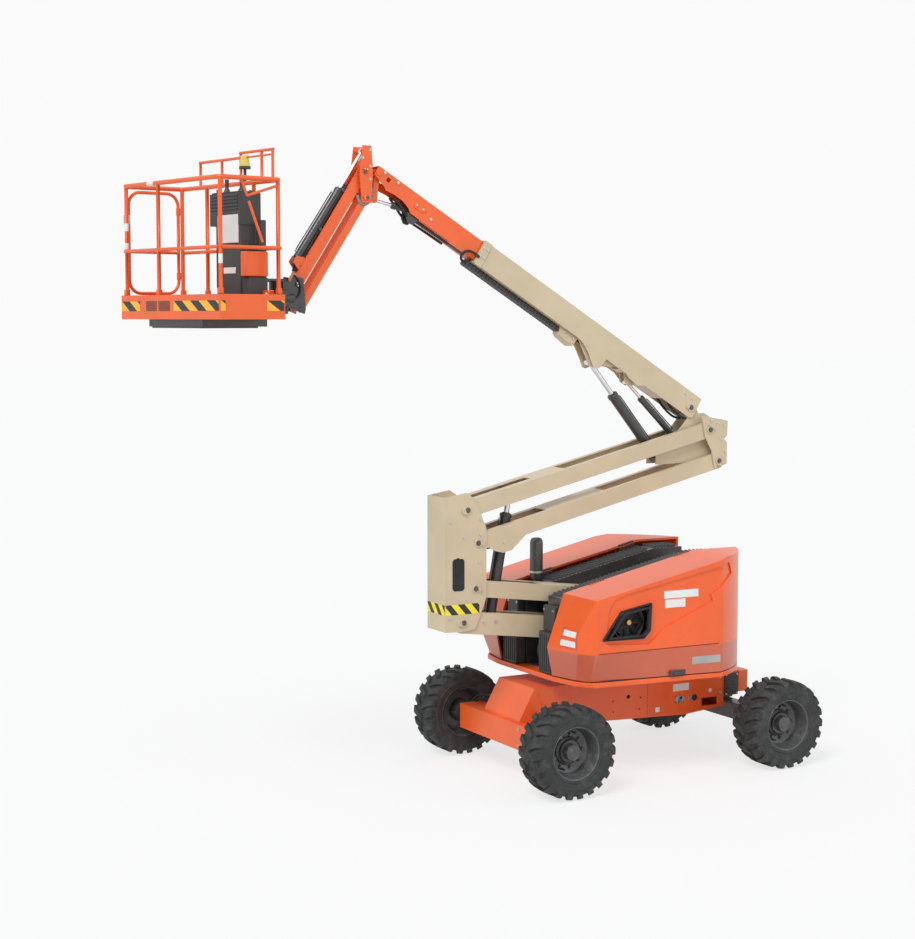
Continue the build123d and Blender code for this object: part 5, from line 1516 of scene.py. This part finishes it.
# ---------------------------------------------------------------- basket
class Basket:
    """The basket's stripes, post feet, floor, console, lamp and braces."""

    floor = 4.215
    near, far = 1.075, 0.455

    def tapes(self) -> None:
        """Hazard tape and the open mesh pair on the kick plates."""
        z0, z1 = self.floor + 0.068, self.floor + 0.150
        a = self.near + 0.02
        long_side = Skin("platform_floor", CAGE.to_3x3() @ Vector((1, 0, 0)))
        for index, (b0, b1) in enumerate(((0.765, 0.46), (-0.08, -0.765))):
            corners = upright(cage, (a, b0), (a, b1), z0, z1)
            long_side.sticker(f"kick_stripes_{index}", corners, Finish.KICK_TAPE, "platform", 8, 1)
        back = Skin("platform_floor", CAGE.to_3x3() @ Vector((-1, 0, 0)))
        corners = upright(cage, (self.far - 0.02, -0.765), (self.far - 0.02, -0.30), z0, z1)
        back.sticker("kick_stripes_back", corners, Finish.KICK_TAPE, "platform", 8, 1)
        for tag, sign in (("right", -1), ("left", 1)):
            end = Skin("platform_floor", CAGE.to_3x3() @ Vector((0, -sign, 0)))
            for index, (a0, a1) in enumerate(((1.065, 1.02), (0.63, 0.465))):
                corners = upright(cage, (a0, sign * 0.80), (a1, sign * 0.80), z0, z1)
                end.sticker(f"kick_stripes_{tag}_{index}", corners, Finish.KICK_TAPE, "platform", 4, 1)
        for index, (b0, b1) in enumerate(((0.36, 0.19), (0.16, -0.02))):
            corners = upright(cage, (a, b0), (a, b1), z0, z1)
            long_side.sticker(f"kick_mesh_{index}", corners, Finish.MESH, "platform", 4, 1)

    def frame(self) -> None:
        """Post feet, white bands and the gate's latch."""
        shape = Shape()
        z = self.floor + 0.20
        for a in (self.near - 0.035, self.far + 0.035):
            for b in (-0.737, 0.737):
                shape.block((-a - 0.02, b - 0.02, z), (-a + 0.02, b + 0.02, z + 0.05))
        for a, b in ((self.near - 0.02, 0.18), (self.far + 0.02, -0.36), (self.far + 0.02, 0.36)):
            shape.block((-a - 0.018, b - 0.022, z), (-a + 0.018, b + 0.022, z + 0.045))
        shape.move(CAGE)
        shape.ride("post_feet", "platform", Finish.ORANGE_PAINT, 0.004)
        bands = Shape()
        for b, rise, tall in ((0.737, 0.74, 0.065), (0.737, 0.59, 0.05), (-0.737, 0.44, 0.075)):
            foot = Vector((-(self.near - 0.038), b, self.floor + rise))
            bands.rod(foot, foot + Vector((0, 0, tall)), 0.0183)
        bands.rod((-(self.near - 0.02), 0.23, self.floor + 1.114),
                  (-(self.near - 0.02), 0.33, self.floor + 1.114), 0.0208)
        bands.move(CAGE)
        bands.ride("post_bands", "platform", Finish.WHITE_PLASTIC)
        latch = Shape().block((-(self.near - 0.07), 0.725, self.floor + 0.80),
                              (-(self.near - 0.035), 0.785, self.floor + 0.88)).move(CAGE)
        latch.ride("gate_latch", "platform", Finish.ZINC, 0.004)

    def deck(self) -> None:
        """The raised tread pattern of the floor and the black tray under it."""
        stud = Shape().prism([(-1.05, self.floor + 0.006), (-1.015, self.floor + 0.006),
                              (-1.0325, self.floor + 0.0085)], -0.74, -0.728)
        bar = stud.done("floor_tread_row", Finish.ORANGE_PAINT)
        grow(bar, row_tree, Finish.ORANGE_PAINT, Count=13, Step=(0.045, 0.0, 0.0))
        grow(bar, row_tree, Finish.ORANGE_PAINT, Count=34, Step=(0.0, 0.044, 0.0))
        shift_mesh(bar, CAGE)
        ride(bar, "platform", Slot.ORANGE)
        tray = Shape().block((-1.0, -0.40, self.floor - 0.072), (-0.47, 0.40, self.floor - 0.058)).move(CAGE)
        tray.ride("under_tray", "platform", Finish.BLACK_PAINT, 0.004)
        pedal = Shape().block((-0.66, -0.05, self.floor + 0.008), (-0.56, 0.10, self.floor + 0.06)).move(CAGE)
        pedal.ride("foot_switch", "platform", Finish.RED, 0.01)

    def console(self) -> None:
        """The control console: ribbed cover, panel, levers, knobs, boxes and cable."""
        top = self.floor + 1.02
        face = self.far + 0.25
        middle = -0.275
        cover = Shape().block((-self.far - 0.095, -0.58, self.floor + 0.23),
                              (-self.far - 0.048, 0.10, self.floor + 0.80))
        cover.block((-face + 0.012, middle - 0.215, top), (-self.far - 0.06, middle + 0.215, top + 0.012))
        cover.move(CAGE)
        cover.ride("console_cover", "platform", Finish.BLACK_PLASTIC, 0.008)
        body = Shape().block((-face + 0.005, -0.495, self.floor + 0.05),
                             (-self.far - 0.05, -0.19, self.floor + 0.77))
        body.block((-face + 0.02, -0.605, self.floor + 0.05), (-self.far - 0.05, -0.48, self.floor + 0.34))
        body.move(CAGE)
        body.ride("console_body", "platform", Finish.BLACK_PLASTIC, 0.010)
        rib = Shape().block((-self.far - 0.105, -0.57, self.floor + 0.26),
                            (-self.far - 0.09, -0.55, self.floor + 0.77))
        ribs = row(rib, "console_ribs", "platform", Finish.BLACK_PLASTIC, 0.003, 12, (0.0, 0.058, 0.0))
        shift_mesh(ribs, CAGE)
        fin = Shape().block((-face - 0.008, middle - 0.205, self.floor + 0.885),
                            (-face + 0.004, middle + 0.205, self.floor + 0.90))
        fins = row(fin, "console_fins", "platform", Finish.BLACK_PLASTIC, 0.002, 5, (0.0, 0.0, 0.027))
        shift_mesh(fins, CAGE)
        papers = Shape().block((-face - 0.008, -0.48, self.floor + 0.617),
                               (-face + 0.006, -0.18, self.floor + 0.845))
        papers.block((-face + 0.0, -0.43, self.floor + 0.37), (-face + 0.008, -0.25, self.floor + 0.42))
        papers.move(CAGE)
        papers.ride("document_box", "platform", Finish.WHITE_PLASTIC, 0.008)
        boxes = Shape().block((-self.far - 0.27, -0.61, self.floor + 0.345),
                              (-self.far - 0.05, -0.535, self.floor + 0.545))
        boxes.block((-self.far - 0.105, -0.69, self.floor + 0.165),
                    (-self.far - 0.045, -0.60, self.floor + 0.235))
        boxes.move(CAGE)
        boxes.ride("tool_boxes", "platform", Finish.ORANGE_PAINT, 0.008)
        lens = Shape().rod((-self.far - 0.105, -0.66, self.floor + 0.20),
                           (-self.far - 0.111, -0.66, self.floor + 0.20), 0.016)
        lens.move(CAGE).ride("box_lens", "platform", Finish.WHITE_PLASTIC, 0.001)
        boots = Shape()
        caps = Shape()
        for b in (middle - 0.135, middle + 0.085):
            boots.rod((-face + 0.08, b, top + 0.008), (-face + 0.08, b, top + 0.05), 0.034, 0.014)
            boots.rod((-face + 0.08, b, top + 0.045), (-face + 0.08, b, top + 0.12), 0.014, 0.018)
        for index in range(5):
            b = middle - 0.155 + 0.07 * index
            caps.rod((-face + 0.15, b, top + 0.010), (-face + 0.15, b, top + 0.024), 0.011)
        boots.move(CAGE)
        caps.move(CAGE)
        boots.ride("joysticks", "platform", Finish.BLACK_PLASTIC, 0.002)
        caps.ride("switches", "platform", Finish.GREY_PLASTIC, 0.001)
        knob = middle + 0.175
        stop = Shape().rod((-face + 0.06, knob, top + 0.010), (-face + 0.06, knob, top + 0.042),
                           0.022).move(CAGE)
        stop.ride("stop_knob", "platform", Finish.RED, 0.003)
        route = [cage(self.far + 0.07, -0.37, self.floor + 0.80), cage(self.far, -0.35, self.floor + 0.72),
                 cage(self.far - 0.03, -0.29, self.floor + 0.45),
                 cage(self.far - 0.03, -0.25, self.floor + 0.15),
                 cage(self.far - 0.02, -0.22, self.floor - 0.02)]
        hose("console_cable", route, 0.013, Finish.HOSE, "platform")

    def guard(self) -> None:
        """The lamp on the guard frame and the braces that hold the console."""
        top = self.floor + 1.114
        x = self.far + 0.02
        b = -0.23
        lamp = Shape().rod((-x, b, top + 0.228), (-x, b, top + 0.135), 0.034, 0.042, 40).move(CAGE)
        lamp.ride("beacon_lens", "platform", Finish.LENS, 0.006)
        foot = Shape().rod((-x, b, top + 0.138), (-x, b, top + 0.116), 0.048, sides=40)
        foot.rod((-x, b, top + 0.12), (-x, b, top), 0.012).move(CAGE)
        foot.ride("beacon_foot", "platform", Finish.BLACK_PLASTIC, 0.003)
        knee = (0.786, -0.74, top - 0.137)
        braces = Shape()
        for (a0, b0, z0), (a1, b1, z1) in (((0.85, -0.752, top - 0.01), knee),
                                           (knee, (0.505, -0.74, top - 0.05)),
                                           ((0.772, -0.74, top - 0.18), (0.648, -0.745, top - 0.50))):
            braces.rod((-a0, b0, z0), (-a1, b1, z1), 0.011, sides=24)
        braces.move(CAGE)
        braces.ride("console_braces", "platform", Finish.ORANGE_PAINT)

    def build(self) -> None:
        """Builds the basket's fittings."""
        self.tapes()
        self.frame()
        self.deck()
        self.console()
        self.guard()


# ---------------------------------------------------------------- stage
@dataclass
class Studio:
    """The pale floor, the soft light and the camera."""

    eye: tuple[float, float, float] = (-9.7905, -14.5348, 4.2340)
    heading: float = 29.0
    drop: float = 4.727
    lens: float = 70.69
    floor_size: float = 120.0
    glow: float = 0.72

    def floor(self) -> None:
        """A plain pale floor that keeps the machine's shadow."""
        graph = Graph("pale floor")
        seen = graph.node("ShaderNodeLightPath", {}, out="Is Camera Ray")
        for ray in ("Is Glossy Ray", "Is Transmission Ray"):
            seen = seen + graph.node("ShaderNodeLightPath", {}, out=ray)
        shader = graph.node("ShaderNodeBsdfDiffuse", {}, (0.86, 0.86, 0.86))
        white = graph.node("ShaderNodeEmission", {}, (1.0, 1.0, 1.0), 1.0)
        both = graph.node("ShaderNodeMixShader", {}, seen.clamp() * self.glow, shader, white)
        graph.end(both)
        size = self.floor_size
        mesh = bpy.data.meshes.new("floor")
        mesh.from_pydata([(-size, -size, 0), (size, -size, 0), (size, size, 0), (-size, size, 0)], [],
                         [(0, 1, 2, 3)])
        mesh.materials.append(graph.material)
        plane = linked("floor", mesh)

    def world(self) -> None:
        """Even light from all round, white behind the machine."""
        world = bpy.data.worlds.new("studio")
        bpy.context.scene.world = world
        world.use_nodes = True
        tree = world.node_tree
        tree.nodes.clear()
        paths = tree.nodes.new("ShaderNodeLightPath")
        seen = paths.outputs["Is Camera Ray"]
        for ray in ("Is Glossy Ray", "Is Transmission Ray"):
            either = tree.nodes.new("ShaderNodeMath")
            either.operation = "MAXIMUM"
            tree.links.new(seen, either.inputs[0])
            tree.links.new(paths.outputs[ray], either.inputs[1])
            seen = either.outputs[0]
        mix = tree.nodes.new("ShaderNodeMixShader")
        out = tree.nodes.new("ShaderNodeOutputWorld")
        tree.links.new(seen, mix.inputs[0])
        for index, (colour, strength) in enumerate((((0.93, 0.96, 1.0, 1.0), 0.53),
                                                    ((1.0, 1.0, 1.0, 1.0), 0.955))):
            light = tree.nodes.new("ShaderNodeBackground")
            light.inputs[0].default_value = colour
            light.inputs[1].default_value = strength
            tree.links.new(light.outputs[0], mix.inputs[1 + index])
        tree.links.new(mix.outputs[0], out.inputs[0])

    def lamp(self, name: str, direction: Point, strength: float, spread: float) -> None:
        """A soft lamp that shines along a direction."""
        data = bpy.data.lights.new(name, "SUN")
        data.energy = strength
        data.angle = math.radians(spread)
        linked(name, data).rotation_euler = Vector(direction).to_track_quat("-Z", "Y").to_euler()

    def camera(self) -> None:
        """The camera at the machine's front left."""
        data = bpy.data.cameras.new("camera")
        data.lens = self.lens
        data.sensor_width = 36.0
        data.clip_end = 500.0
        camera = linked("camera", data)
        camera.location = at(*self.eye)
        camera.rotation_euler = (math.radians(90 - self.drop), 0.0, math.radians(-self.heading))
        bpy.context.scene.camera = camera

    def build(self) -> None:
        """Builds the stage."""
        self.camera()
        self.floor()
        self.world()
        self.lamp("key", (0.75, 0.55, -0.95), 1.85, 24.0)
        self.lamp("fill", (-0.5, 0.8, -0.35), 0.5, 60.0)
        bpy.context.scene.view_settings.view_transform = "Standard"


def main() -> None:
    """Builds the stage and the machine's dress in order."""
    logging.basicConfig(level=logging.INFO, format="%(message)s")
    Studio().build()
    Dressing().build()
    for name in ("rear_left", "rear_right", "front_left", "front_right"):
        Wheel(name, 1 if name.endswith("left") else -1).build()
    Chassis().build()
    Turntable().build()
    for side in (-1, 1):
        Hood(side).build()
    Tower().build()
    MainBoom().build()
    Jib().build()
    Basket().build()
    for name, radius, closed, up in (("tower", 0.052, 1.06, 1), ("lift", 0.048, 0.85, -1),
                                     ("level", 0.032, 0.60, -1), ("jib", 0.036, 0.78, 1),
                                     ("slave", 0.030, 0.36, -1)):
        Ram(name, radius, closed, up).build()


if __name__ == "__main__":
    main()
